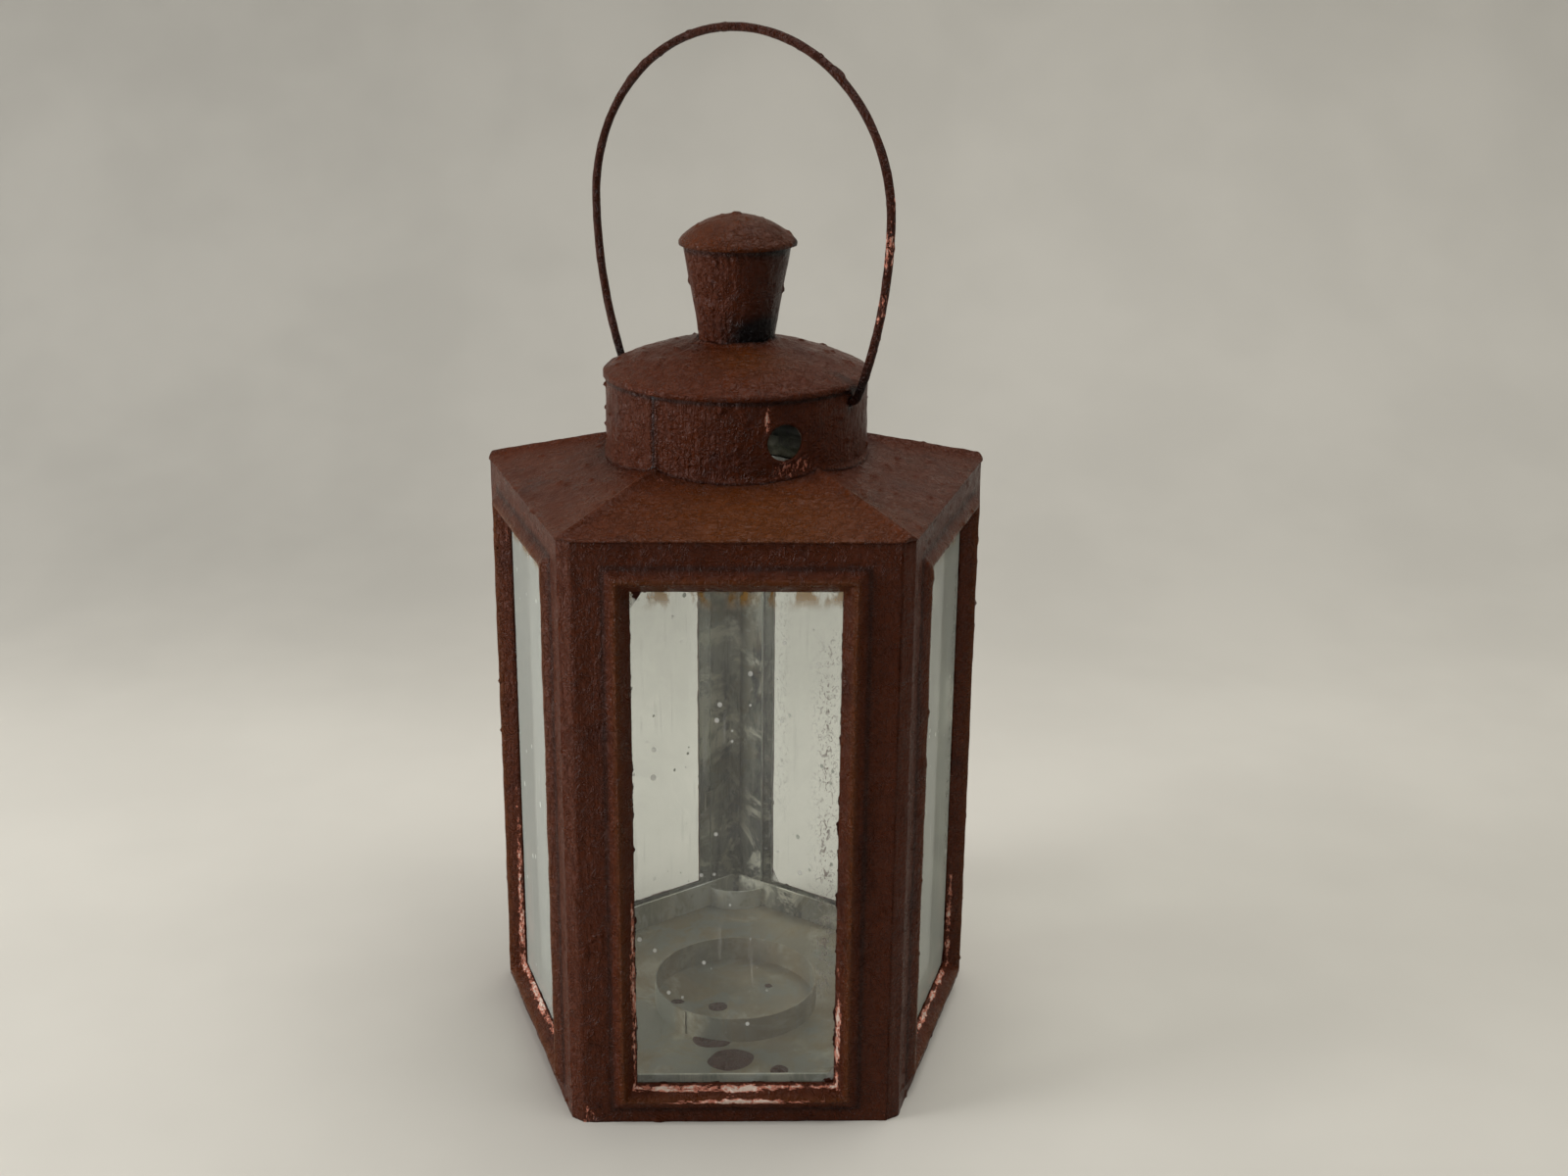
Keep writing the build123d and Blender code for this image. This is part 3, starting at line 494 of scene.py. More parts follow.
def build_tin(name, size, bright, tones):
    """Dull tinned sheet: its plain, stained and pale tones, with old rust and grit."""
    plain, stained, pale, ochre = tones
    n, shader = new_material(name)
    place = n.add("TexCoord").outputs["Object"]
    mottle = use_group(n, "Mottling", Vector=place, Size=size)
    shifted = n.stretched(place, (1, 1, 1), (0.31, 0.12, 0.07))
    wide = use_group(n, "Mottling", Vector=shifted, Size=size * 0.45)
    body = n.mix(mottle.outputs["Runs"], plain, stained)
    body = n.mix(n.maths("MULTIPLY", n.ramp(wide.outputs["Runs"], 0.3, 0.9), 0.6), body, stained)
    body = n.mix(n.maths("MULTIPLY", mottle.outputs["Patches"], 0.3), body, ochre)
    ragged = n.ramp(mottle.outputs["Patches"], 0.0, 1.0, 0.12, 1.0)
    bloom = n.maths("MULTIPLY", wide.outputs["Patches"], ragged)
    body = n.mix(n.maths("MULTIPLY", bloom, bright), body, pale)
    speck = n.ramp(mottle.outputs["Grit"], 0.66, 0.72)
    body = n.mix(n.maths("MULTIPLY", speck, 0.5), body, pale)
    height = n.add("SeparateXYZ", Vector=place).outputs["Z"]
    body = n.mix(n.ramp(height, *SOOT_LEVELS, 0, 0.93), body, LAMP_BLACK)
    n.put(shader.inputs["Base Color"], body)
    n.put(shader.inputs["Roughness"], n.ramp(mottle.outputs["Patches"], 0, 1, 0.38, 0.62))
    relief = n.maths("ADD", mottle.outputs["Grit"], mottle.outputs["Patches"])
    bump = n.add("Bump", Height=relief, Strength=0.25, Distance=0.15 * MM)
    n.put(shader.inputs["Normal"], bump)
    shader.inputs["Metallic"].default_value = 0.35


def build_glass(colours):
    """Old window glass. Light and shadow rays pass straight through it."""
    n, shader = new_material("window_glass")
    shader.inputs["Base Color"].default_value = (*colours.glass, 1)
    shader.inputs["Transmission Weight"].default_value = 1.0
    shader.inputs["IOR"].default_value = 1.46
    place = n.add("TexCoord").outputs["Object"]
    n.put(shader.inputs["Roughness"], n.ramp(n.noise(place, 60, 3), 0.4, 0.8, 0.0, 0.035))
    waves = n.noise(n.stretched(place, (1, 1, 0.4)), 30, 1)
    ripple = n.add("Bump", Height=waves, Strength=0.15, Distance=0.1 * MM)
    n.put(shader.inputs["Normal"], ripple)
    clear = n.add("BsdfTransparent", Color=(0.9, 0.92, 0.9))
    path = n.add("LightPath")
    passing = n.maths("MAXIMUM", path.outputs["Is Shadow Ray"], path.outputs["Is Diffuse Ray"])
    blend = n.add("MixShader", _0=passing, _1=shader.outputs[0], _2=clear)
    n.put(n.tree.nodes["Material Output"].inputs["Surface"], blend)


def build_pane_dirt():
    """What lies on a pane: haze, runs and specks, rust under the top edge, smears, and slopped paint."""
    n, given, out = new_group(
        "Pane Dirt",
        (
            ("Vector", "Vector", None), ("Strength", "Float", 1.0), ("Haze", "Float", 0.0),
            ("From Top", "Float", 0.0), ("From Edge", "Float", 0.0), ("Smear", "Float", 0.0),
        ),
        (("Dust", "Float", None), ("Rust", "Float", None), ("Smear", "Float", None), ("Slop", "Float", None)),
    )
    place, strength, thick = (given.outputs[key] for key in ("Vector", "Strength", "Haze"))
    thickest = n.maths("ADD", thick, n.maths("MULTIPLY", strength, 0.12))
    haze = n.ramp(n.noise(place, 22, 4, 0.6), 0.3, 0.75, thick, thickest)
    runs = n.ramp(n.noise(n.stretched(place, (1, 0.06, 1)), 420, 3, 0.6), 0.56, 0.74, 0, 0.22)
    runs = n.maths("MULTIPLY", runs, strength)
    runs = n.maths("MULTIPLY", runs, n.ramp(n.noise(place, 26, 2), 0.45, 0.6))
    specks = n.dots(n.stretched(place, (1, 0.85, 1)), 190)
    size = n.maths("MULTIPLY", n.add("SeparateColor", Color=specks.outputs["Color"]).outputs[0], 0.26)
    speck = n.ramp(n.maths("SUBTRACT", size, specks.outputs["Distance"]), 0.05, 0.08, 0, 0.85)
    speck = n.maths("MULTIPLY", speck, n.ramp(n.noise(place, 45, 2), 0.40, 0.55))
    n.put(out.inputs["Dust"], n.maths("MAXIMUM", n.maths("ADD", haze, runs), speck))
    stains = n.ramp(n.noise(n.stretched(place, (1, 0.45, 1)), 150, 4, 0.65), 0.42, 0.6, 0, 0.74)
    under_top = n.ramp(given.outputs["From Top"], 8.5 * MM, 1 * MM)
    n.put(out.inputs["Rust"], n.maths("MULTIPLY", under_top, stains))
    flecks = n.ramp(n.noise(n.stretched(place, (1, 0.55, 1)), 620, 3, 0.7, 1.5), 0.52, 0.6, 0, 0.85)
    n.put(out.inputs["Smear"], n.maths("MULTIPLY", given.outputs["Smear"], flecks))
    reach = n.maths("MULTIPLY", n.ramp(n.noise(place, 170, 4, 0.62), 0.46, 0.9), 1.5 * MM)
    slop = n.maths("SUBTRACT", reach, given.outputs["From Edge"])
    n.put(out.inputs["Slop"], n.ramp(slop, -0.1 * MM, 0.1 * MM))


def build_grime(name, strength, haze, dust, rust, paint):
    """The film on a pane, in its own dust colour."""
    n, shader = new_material(name)
    across, up = n.mark("pane_across"), n.mark("pane_up")
    place = n.add("CombineXYZ", X=across, Y=up, Z=n.mark("pane_seed")).outputs[0]
    dirt = use_group(
        n, "Pane Dirt", Vector=place, Strength=strength, Haze=haze,
        From_Top=n.mark("pane_top"), From_Edge=n.mark("pane_edge"), Smear=n.mark("pane_smear"),
    )
    pale, rusty, smear, slop = dirt.outputs
    body = n.mix(n.maths("MULTIPLY", rusty, 2.2, True), dust, rust)
    body = n.mix(smear, body, paint.paint)
    body = n.mix(slop, body, paint.deep_paint_and_shade)
    cover = n.maths("MAXIMUM", n.maths("MAXIMUM", pale, rusty), n.maths("MAXIMUM", smear, slop))
    n.put(shader.inputs["Base Color"], body)
    n.put(shader.inputs["Alpha"], n.maths("MULTIPLY", cover, 1.0, True))
    shader.inputs["Roughness"].default_value = 0.8
    shader.inputs["Specular IOR Level"].default_value = 0.2


def build_floor(look):
    """A plain pale surface with the faintest grain, with painted shade: darker towards the back and the left,
    and a little darker up the backdrop.
    """
    n, shader = new_material("pale_floor")
    place = n.add("TexCoord").outputs["Object"]
    grain = n.ramp(n.noise(place, 8, 3), 0.3, 0.7, 0.0, 0.12)
    parts = n.add("SeparateXYZ", Vector=place).outputs
    # Painted shade: the floor darkens towards the back and the left, and a little up the backdrop.
    left_to_right = n.ramp(parts["X"], -0.35, 0.35, 0.80, 0.44)
    far = n.maths("MULTIPLY", n.ramp(parts["Y"], 0.2, 0.54), left_to_right)
    shade = n.maths("ADD", n.maths("ADD", grain, far), n.ramp(parts["Z"], 0.1, 0.5, 0.0, 0.16))
    dull = tuple(c * SHADE_DEPTH for c in look.floor)
    n.put(shader.inputs["Base Color"], n.mix(shade, look.floor, dull))
    shader.inputs["Roughness"].default_value = 0.75
    shader.inputs["Specular IOR Level"].default_value = 0.25


# ---- Painted tinwork -------------------------------------------------------------------


def apothem_of(sizes):
    """From the upright axis to a face."""
    return sizes.side / 2 / math.tan(HALF_TURN)


def moulding(across, up, sizes):
    """How far the pressed sheet stands out of its plane, and the distance outwards from the window."""
    half = sizes.side / 2 - sizes.stile
    window_top = sizes.wall_height - sizes.top_rail
    away = np.maximum(np.abs(across) - half, np.maximum(sizes.bottom_rail - up, up - window_top))
    stops = (-sizes.bevel, 0, sizes.bevel, 2 * sizes.bevel)
    heights = (-2 * sizes.lip - sizes.ridge, -sizes.lip, sizes.ridge, 0)
    shifts = np.linspace(-sizes.rounding, sizes.rounding, 7)
    return sum(np.interp(away + shift, stops, heights) for shift in shifts) / len(shifts), away


def corner_strip_path(side, depth, reach, sizes):
    """Plan of the folded strip at one end of a face: its points and their inward directions."""
    bend = 2 * HALF_TURN
    along = np.array([side * math.cos(bend), math.sin(bend)])
    inward = np.array([-side * math.sin(bend), math.cos(bend)])
    corner = np.array([side * sizes.side / 2, -apothem_of(sizes)])
    fold = corner + along * sizes.setback
    start = np.array([side * (sizes.side / 2 - sizes.setback), -apothem_of(sizes)])
    facet_in = np.array([-side * math.sin(HALF_TURN), math.cos(HALF_TURN)])
    points = [start + (fold - start) * k / 7 for k in range(1, 8)]
    directions = [facet_in] * 6 + [(facet_in + inward) / 2]
    for distance in np.linspace(sizes.setback + 0.3 * MM, reach, 8):
        points.append(corner + along * distance + inward * depth)
        directions.append(inward)
    return points, directions


def panel_grid(face, sizes):
    """Plan points, inward directions and places across for the columns of one panel."""
    a = apothem_of(sizes)
    half = sizes.side / 2 - sizes.stile
    end = sizes.side / 2 - sizes.setback
    if face == "door":
        end -= DOOR_GAP
    stops = spans((-end, -half, 0.8 * MM), (-half, half, 1.6 * MM), (half, end, 0.8 * MM))
    plan = [np.array([x, -a]) for x in stops]
    directions = [np.array([0.0, 1.0])] * len(stops)
    across = list(stops)
    if face != "door":
        depth, reach = (POST_DEPTH, POST_REACH) if face == "back_left" else (sizes.sheet, LAP_REACH)
        points, inwards = corner_strip_path(-1, depth, reach, sizes)
        plan = points[::-1] + plan
        directions = inwards[::-1] + directions
        across = [-end - sizes.side] * len(points) + across
    if face == "right":
        points, inwards = corner_strip_path(1, POST_DEPTH, LATCH_REACH, sizes)
        plan = plan + points
        directions = directions + inwards
        across = across + [end + sizes.side] * len(points)
    return np.array(plan), np.array(directions), np.array(across)


def panel_wear(face, across, up, away, sizes):
    """How worn the paint is: window lips, the bottom moulding and the lower corners."""
    lip = near(away, 0.7 * MM, 1.1 * MM)
    ridge = near(away, sizes.bevel, 1.3 * MM)
    low = 1 - rising(up, 25 * MM, 110 * MM)
    foot = 1 - rising(up, 3 * MM, 16 * MM)
    bottom = up < sizes.bottom_rail
    share = 1.0 if face in ("front", "left", "door") else 0.8
    wear = lip * (0.32 + 0.68 * low) + ridge * (0.12 + 0.5 * foot) + bottom * 0.25 * foot
    wear = wear + 0.13 * (1 - rising(up, 0, 60 * MM))
    if face == "front":
        top = up > sizes.wall_height - sizes.top_rail
        right_lip = near(away, 1.2 * MM, 1.6 * MM) * near(across, 38 * MM, 4 * MM) * near(up, 34 * MM, 26 * MM)
        left_lip = near(away, 0.9 * MM, 1.2 * MM) * near(across, -34 * MM, 3 * MM) * near(up, 55 * MM, 38 * MM)
        wear = wear + 0.9 * right_lip + 0.9 * left_lip
        wear = wear + 1.1 * near(away, 1.0 * MM, 1.3 * MM) * bottom * near(across, -10 * MM, 22 * MM)
        wear = wear + 0.35 * near(away, 1.0 * MM, 0.9 * MM) * top
        wear = wear + 0.75 * near(away, sizes.bevel, 0.9 * MM) * bottom * near(across, 4 * MM, 30 * MM)
    if face in ("left", "right"):
        wear = wear + 0.45 * near(away, 0.3 * MM, 1.2 * MM)
    wear = wear + 0.55 * near(np.abs(across), sizes.side / 2 - sizes.setback, 6 * MM) * foot
    return np.clip(wear * share, 0, 1.3)


def make_panel(face, sizes, paint):
    """One pressed panel with its window, its folded corner strips and its brushed paint."""
    plan, directions, across = panel_grid(face, sizes)
    low = DOOR_GAP if face == "door" else 0
    half = sizes.side / 2 - sizes.stile
    window_low, window_top = sizes.bottom_rail, sizes.wall_height - sizes.top_rail
    top = sizes.wall_height - low
    fine, coarse = 0.8 * MM, 1.2 * MM
    ups = spans((low, window_low, fine), (window_low, window_top, coarse), (window_top, top, fine))
    rows, columns = len(ups), len(plan)
    x, z = np.tile(across, rows), np.repeat(ups, columns)
    flat = np.abs(x) < sizes.side / 2
    out, away = moulding(x, z, sizes)
    out = np.where(flat, out, 0)
    away = np.where(flat, away, 20 * MM)
    base = np.column_stack([np.tile(plan, (rows, 1)), z])
    push = np.column_stack([np.tile(directions, (rows, 1)), np.zeros(len(z))])
    inner = base - push * out[:, None] + push * sizes.sheet
    seed = 11 + FACE_TURNS[face]
    rail = (np.maximum(window_low - z, z - window_top) > np.abs(x) - half) & flat
    lumps = np.where(rail, brushed(base, seed, (0.35, 1, 1)), brushed(base, seed, (1, 1, 0.3)))
    from_middle = np.abs(np.tile(np.arange(columns), rows) - columns / 2)
    calm = np.where(flat, 1, rising(from_middle, 0, 1))
    outer = base - push * (out + paint.relief * lumps * calm)[:, None]
    quads = grid_quads(rows, columns)
    middle_x, middle_z = x[quads].mean(1), z[quads].mean(1)
    quads = quads[(np.abs(middle_x) > half) | (middle_z < window_low) | (middle_z > window_top)]
    marks = paint_marks(
        x,
        wear=panel_wear(face, x, z, away, sizes) * flat,
        across=rail,
        # Painted shade: near-black in the crease where the moulding's outer slope meets the flat stile.
        soot_and_shade=0.6 * near(away, 2 * sizes.bevel, 0.9 * MM) * flat,
        warm=0.7 * near(away, sizes.bevel, 1.2 * MM) * flat,
    )
    outer, inner = turn_points(outer, FACE_TURNS[face]), turn_points(inner, FACE_TURNS[face])
    if face == "door":
        piece = sheet_piece("painted_door", outer, inner, quads, marks)
        settle(piece, "door", "brown_paint", "door_frame")
    else:
        piece = sheet_piece("painted_panel_" + face, outer, inner, quads, marks)
        settle(piece, "case", "brown_paint", "panel_" + face)


def roof_surface(x, y, sizes):
    """Height of the painted roof over a plan point, without and with the beads on its softened hips."""
    turns = np.radians(np.array(list(FACE_TURNS.values())) - 90)
    reach = np.stack([x * math.cos(t) + y * math.sin(t) for t in turns])
    ordered = np.sort(reach, axis=0)
    first, second = ordered[-1], ordered[-2]
    soft = 0.6 * MM
    joined = first + soft * np.log1p(np.exp(-(first - second) / soft))
    hip = (first - second) / (2 * math.sin(HALF_TURN))
    plain = sizes.wall_height + 0.83 * MM + (apothem_of(sizes) - joined) * ROOF_SLOPE
    return plain, plain + HIP_BEAD * near(hip, 0, HIP_WIDTH), hip


def make_roof(sizes, paint):
    """The low five-sided roof with its turned-down lip."""
    a = apothem_of(sizes)
    columns = 520
    angles = np.linspace(0, 2 * math.pi, columns, endpoint=False)
    offset = np.mod(angles + math.radians(90) + HALF_TURN, 2 * HALF_TURN) - HALF_TURN
    to_corner = np.cos(HALF_TURN - np.abs(offset))
    overhang = 0.6 * MM
    corner = a / math.cos(HALF_TURN) - sizes.setback * math.sin(HALF_TURN) + overhang
    edge = np.minimum((a + overhang) / np.cos(offset), corner / to_corner)
    inner_radius = sizes.collar_radius - 1.7 * MM
    share = np.append(np.linspace(0, 0.97, 38), (0.985, 0.994, 1.0))
    rows = len(share)
    radius = inner_radius + share[:, None] * (edge[None, :] - inner_radius)
    x, y = (radius * np.cos(angles)).ravel(), (radius * np.sin(angles)).ravel()
    plain, beaded, hip = roof_surface(x, y, sizes)
    inner = np.column_stack([x, y, plain - sizes.sheet])
    rounded = np.repeat(np.interp(share, (0.985, 1.0), (0, 0.3 * MM)), columns)
    base = np.column_stack([x, y, beaded - rounded])
    outer = base + np.array([0, 0, 1]) * (paint.relief * 0.8 * brushed(base, 3))[:, None]
    rough_edge = np.repeat(rising(share, 0.97, 1), columns) * paint.relief * 1.2 * brushed(base, 8)
    outer[:, 0] += rough_edge * np.tile(np.cos(angles), rows)
    outer[:, 1] += rough_edge * np.tile(np.sin(angles), rows)
    from_axis = np.hypot(x, y)
    wear = 0.2 * near(from_axis, sizes.collar_radius + 2.5 * MM, 4 * MM) + 0.12 * near(hip, 0, 1.2 * MM)
    wear = wear + 0.95 * near(x, -25 * MM, 9 * MM) * near(y, -43.5 * MM, 6 * MM)
    # Painted shade: the roof darkens where it meets the collar's foot.
    collar_foot_shade = near(from_axis, sizes.collar_radius, 3 * MM)
    # Warmer towards the front of the roof.
    front = rising(-y, 30 * MM, 62 * MM) * near(x, 8 * MM, 40 * MM)
    marks = paint_marks(x, wear=wear, across=0.6, soot_and_shade=0.3 * collar_foot_shade, warm=0.75 * front)
    quads = grid_quads(rows, columns, closed=True)
    skin = sheet_piece("painted_roof", outer, inner, quads, marks, "sooty_tin")
    settle(skin, "case", "brown_paint", "roof")
    lip_radius = np.minimum((a - 2 * MM) / np.cos(offset), (corner - 3.4 * MM) / to_corner)
    heights = sizes.wall_height + np.array([0.7 * MM, 0, -4.5 * MM])
    plan = np.column_stack([lip_radius * np.cos(angles), lip_radius * np.sin(angles)])
    ring = np.column_stack([np.tile(plan, (3, 1)), np.repeat(heights, columns)])
    smaller = 1 - 0.8 / 74
    inset = ring * np.array([smaller, smaller, 1])
    quads = grid_quads(3, columns, closed=True)[:, ::-1]
    lip = make_mesh("roof_lip", *closed_sheet(ring, inset, quads), [bpy.data.materials["aged_tin"]])
    settle(lip, "case", "bare_tin", "roof")


def cut_hole(angle, z, quads, hole, r):
    """Cuts a round hole in the collar's grid and fits the points beside it to the hole's edge."""
    degrees, level, radius = hole
    turn = angle_from(angle, degrees)
    u, v = turn * r, z - level
    distance = np.hypot(u, v)
    wrapped = np.ptp(u[quads], axis=1) > r
    inside = (distance[quads].mean(1) < radius) & ~wrapped
    edge = np.intersect1d(np.unique(quads[inside]), np.unique(quads[~inside]))
    scale = radius / np.maximum(distance[edge], 1e-6)
    angle[edge] = math.radians(degrees) + turn[edge] * scale
    z[edge] = level + v[edge] * scale
    return quads[~inside]


def make_collar(sizes, paint):
    """The rolled collar with its folded seam, three vents and two holes for the bail."""
    r, top = sizes.collar_radius, sizes.collar_top
    columns, rows = 400, 40
    angles = np.linspace(-math.pi, math.pi, columns, endpoint=False)
    foot = roof_surface(r * np.cos(angles), r * np.sin(angles), sizes)[1]
    share = np.linspace(0, 1, rows)
    z = ((foot[None, :] - 0.5 * MM) * (1 - share[:, None]) + top * share[:, None]).ravel()
    angle = np.tile(angles, rows)
    above = z - np.tile(foot, rows)
    quads = grid_quads(rows, columns, closed=True)
    swell = np.zeros(len(z))
    wear = 0.25 * near(above, 1.5 * MM, 2 * MM)
    for degrees in VENT_TURNS:
        level = top - VENT_DROP
        sideways = angle_from(angle, degrees) * r
        quads = cut_hole(angle, z, quads, (degrees, level, VENT_RADIUS), r)
        from_rim = np.hypot(angle_from(angle, degrees) * r, z - level) - VENT_RADIUS
        swell += 0.35 * MM * near(from_rim, 0.7 * MM, 0.6 * MM)
        wear = wear + 0.55 * near(from_rim, 3 * MM, 4.5 * MM)
        wear = wear + 0.42 * near(sideways, 6 * MM, 9 * MM) * near(z - level, -7.5 * MM, 3.5 * MM)
    for degrees in (BAIL_TURN, BAIL_TURN + 180):
        quads = cut_hole(angle, z, quads, (degrees, top - BAIL_DROP, BAIL_HOLE), r)
    seam = angle_from(angle, SEAM_TURN) * r
    fold = rising(seam, -2.4 * MM, -1.6 * MM) * (1 - rising(seam, 1.6 * MM, 2.4 * MM))
    groove = near(seam, 0.9 * MM, 0.5 * MM)
    wavy = lattice_noise(np.column_stack([angle * r, z, z * 0]), 3 * MM, 5)
    bead = 0.9 * MM * near(above, 0, 1.0 * MM) * (1 + 0.5 * wavy)
    base = np.column_stack([r * np.cos(angle), r * np.sin(angle), z])
    height = swell + 0.85 * MM * fold - 0.6 * MM * groove + bead
    height = height + paint.relief * 1.15 * brushed(base, 21, (1, 1, 0.4))
    reach = r + height * (1 - rising(z, top - 1.6 * MM, top - 1.0 * MM))
    outer = np.column_stack([reach * np.cos(angle), reach * np.sin(angle), z])
    thin = r - sizes.collar_sheet
    inner = np.column_stack([thin * np.cos(angle), thin * np.sin(angle), z])
    wear = wear + 0.6 * near(seam, -2 * MM, 0.8 * MM) + 0.25 * near(seam, 3 * MM, 2 * MM)
    wear = wear + 0.64 * near(angle_from(angle, -77.5), 0, 0.03) * rising(z, 226 * MM, 240 * MM)
    shade_under_lid = near(z, top - 1.9 * MM, 0.7 * MM)
    # Darker round the bail's hole.
    dark_round_bail_hole = near(angle_from(angle, BAIL_TURN), 0, 0.05) * near(z, top - BAIL_DROP, 3 * MM)
    # Painted shade: darkened under the lid's rim, in the seam's groove and at the foot on the roof.
    soot_and_shade = 0.75 * shade_under_lid + 0.8 * groove * (fold > 0.5) + dark_round_bail_hole + 0.5 * near(above, 0, 0.6 * MM)
    piece = sheet_piece("painted_collar", outer, inner, quads, paint_marks(z, wear=wear, soot_and_shade=soot_and_shade), "sooty_tin")
    settle(piece, "case", "brown_paint", "collar")


def spun_sheet(name, profile, thickness, columns, height_of, marks_of):
    """A sheet of revolution from its outer profile of (radius, height), with relief and marks from functions."""
    profile = np.array(profile)
    slope = np.gradient(profile, axis=0)
    normal = np.column_stack([slope[:, 1], -slope[:, 0]])
    normal /= np.linalg.norm(normal, axis=1)[:, None]
    normal *= np.where(normal @ np.array([1.0, 1.0]) < 0, -1, 1)[:, None]
    angles = np.linspace(-math.pi, math.pi, columns, endpoint=False)
    rows = len(profile)
    angle = np.tile(angles, rows)
    radius, z = np.repeat(profile[:, 0], columns), np.repeat(profile[:, 1], columns)
    n_radius, n_z = np.repeat(normal[:, 0], columns), np.repeat(normal[:, 1], columns)
    base = np.column_stack([radius * np.cos(angle), radius * np.sin(angle), z])
    push = np.column_stack([n_radius * np.cos(angle), n_radius * np.sin(angle), n_z])
    outer = base + push * height_of(base, angle, radius, z)[:, None]
    inner = base - push * thickness
    quads = grid_quads(rows, columns, closed=True)
    a, b, c = outer[quads[0, 0]], outer[quads[0, 1]], outer[quads[0, 2]]
    if np.dot(np.cross(b - a, c - a), push[quads[0, 0]]) < 0:
        quads = quads[:, ::-1]
    return sheet_piece(name, outer, inner, quads, marks_of(angle, radius, z), "sooty_tin")


def dome_rise(base_radius, rise, radius):
    """Height of a dome over its edge at a radius."""
    sphere = (base_radius**2 + rise**2) / (2 * rise)
    return np.sqrt(sphere**2 - radius**2) - (sphere - rise)


def make_lid(sizes, paint):
    """The domed lid over the collar, wrinkled on its left where the paint has run."""
    edge = LID_HIGH.x
    base_z = LID_LOW.z + 1.8 * MM
    radii = spans((0.3 * MM, 11 * MM, 2 * MM), (11 * MM, edge - 0.6 * MM, 1 * MM))
    profile = [(r, base_z + dome_rise(edge, LID_RISE, r)) for r in radii]
    profile += [(edge - 0.15 * MM, base_z - 0.1 * MM), (edge, base_z - 0.5 * MM), (edge, base_z - 1.1 * MM)]
    profile.append((edge, LID_LOW.z))

    def height_of(base, angle, radius, z):
        rough = rising(radius, 11 * MM, 15 * MM) * (1 - rising(radius, 34 * MM, 43 * MM))
        rough = rough * near(angle_from(angle, -130), 0, 0.9)
        wrinkles = np.abs(lattice_noise(base, 3.4 * MM, 31)) + 0.6 * np.abs(lattice_noise(base, 1.7 * MM, 32))
        lumps = paint.relief * (0.9 * brushed(base, 33) - 1.7 * rough * wrinkles + 0.8 * rough)
        solder = 1.1 * MM * near(radius, 12.9 * MM, 1.3 * MM) * (1 + 0.5 * lattice_noise(base, 2.2 * MM, 34))
        return lumps + solder * (radius > 11.5 * MM)

    def marks_of(angle, radius, z):
        rim = near(radius, edge, 0.7 * MM)
        left = near(angle_from(angle, -122), 0, 0.34)
        spot = near(angle_from(angle, -125), 0, 0.5) * near(radius, 17 * MM, 6 * MM)
        wear = 0.22 + 0.48 * rim * left * (z < base_z) + 0.4 * spot + 0.2 * rim
        wear = wear - 0.15 * near(angle_from(angle, -60), 0, 0.9)
        # Darker on the lid's rim over the bail's hole.
        dark_round_bail_end = near(angle_from(angle, BAIL_TURN), 0, 0.05) * near(radius, 42 * MM, 4 * MM)
        # Painted shade: a near-black ring in the crease where the chimney stands on the lid.
        soot_and_shade = 0.9 * near(radius, 12.6 * MM, 0.8 * MM) + 0.5 * dark_round_bail_end
        warm = 0.6 * near(angle_from(angle, -82), 0, 0.5) * near(radius, 24 * MM, 11 * MM)
        return paint_marks(radius, wear=wear, across=0.4, soot_and_shade=soot_and_shade, warm=warm)

    piece = spun_sheet("painted_lid", profile, sizes.collar_sheet, 360, height_of, marks_of)
    settle(piece, "case", "brown_paint", "lid")


def make_chimney(paint):
    """The flared chimney with its lapped seam, near-black at its foot on the front right, painted shade on its
    right side and under its cap, and paint wrinkles on its left.
    """
    bottom, top = CHIMNEY_LOW.z, CHIMNEY_HIGH.z
    levels = spans((bottom, top, 0.8 * MM))
    profile = [(np.interp(z, (bottom, top), CHIMNEY_RADII), z) for z in levels]

    def height_of(base, angle, radius, z):
        lap = angle_from(angle, LAP_TURN) * radius
        step = rising(lap, -1.9 * MM, -1.3 * MM) * (1 - rising(lap, 1.7 * MM, 6 * MM))
        rough = near(angle_from(angle, -120), 0, 0.55)
        wrinkles = np.abs(lattice_noise(base * np.array([1, 1, 0.5]), 2.6 * MM, 41))
        lumps = paint.relief * (0.8 * brushed(base, 42, (1, 1, 0.4)) + rough * (0.9 - 2.2 * wrinkles))
        return (lumps + 0.6 * MM * step) * rising(top - z, 0, 2 * MM)

    def marks_of(angle, radius, z):
        lap = angle_from(angle, LAP_TURN) * radius
        foot = 1 - rising(z, bottom + 4 * MM, bottom + 13 * MM)
        # Near-black at the foot on the front right.
        black_foot = near(angle_from(angle, -62), 0, 0.75) * foot
        # Painted shadow under the cap.
        shadow_under_cap = near(z, top - 2.2 * MM, 1.2 * MM)
        # Painted shade on the right side, away from the light.
        right = 0.5 * near(angle_from(angle, -28), 0, 0.65)
        soot_and_shade = 1.25 * black_foot + right + 0.55 * near(lap, -2.1 * MM, 0.35 * MM) + 0.6 * shadow_under_cap
        return paint_marks(z, wear=0.08, soot_and_shade=soot_and_shade)

    piece = spun_sheet("painted_chimney", profile, 0.6 * MM, 200, height_of, marks_of)
    settle(piece, "case", "brown_paint", "chimney")


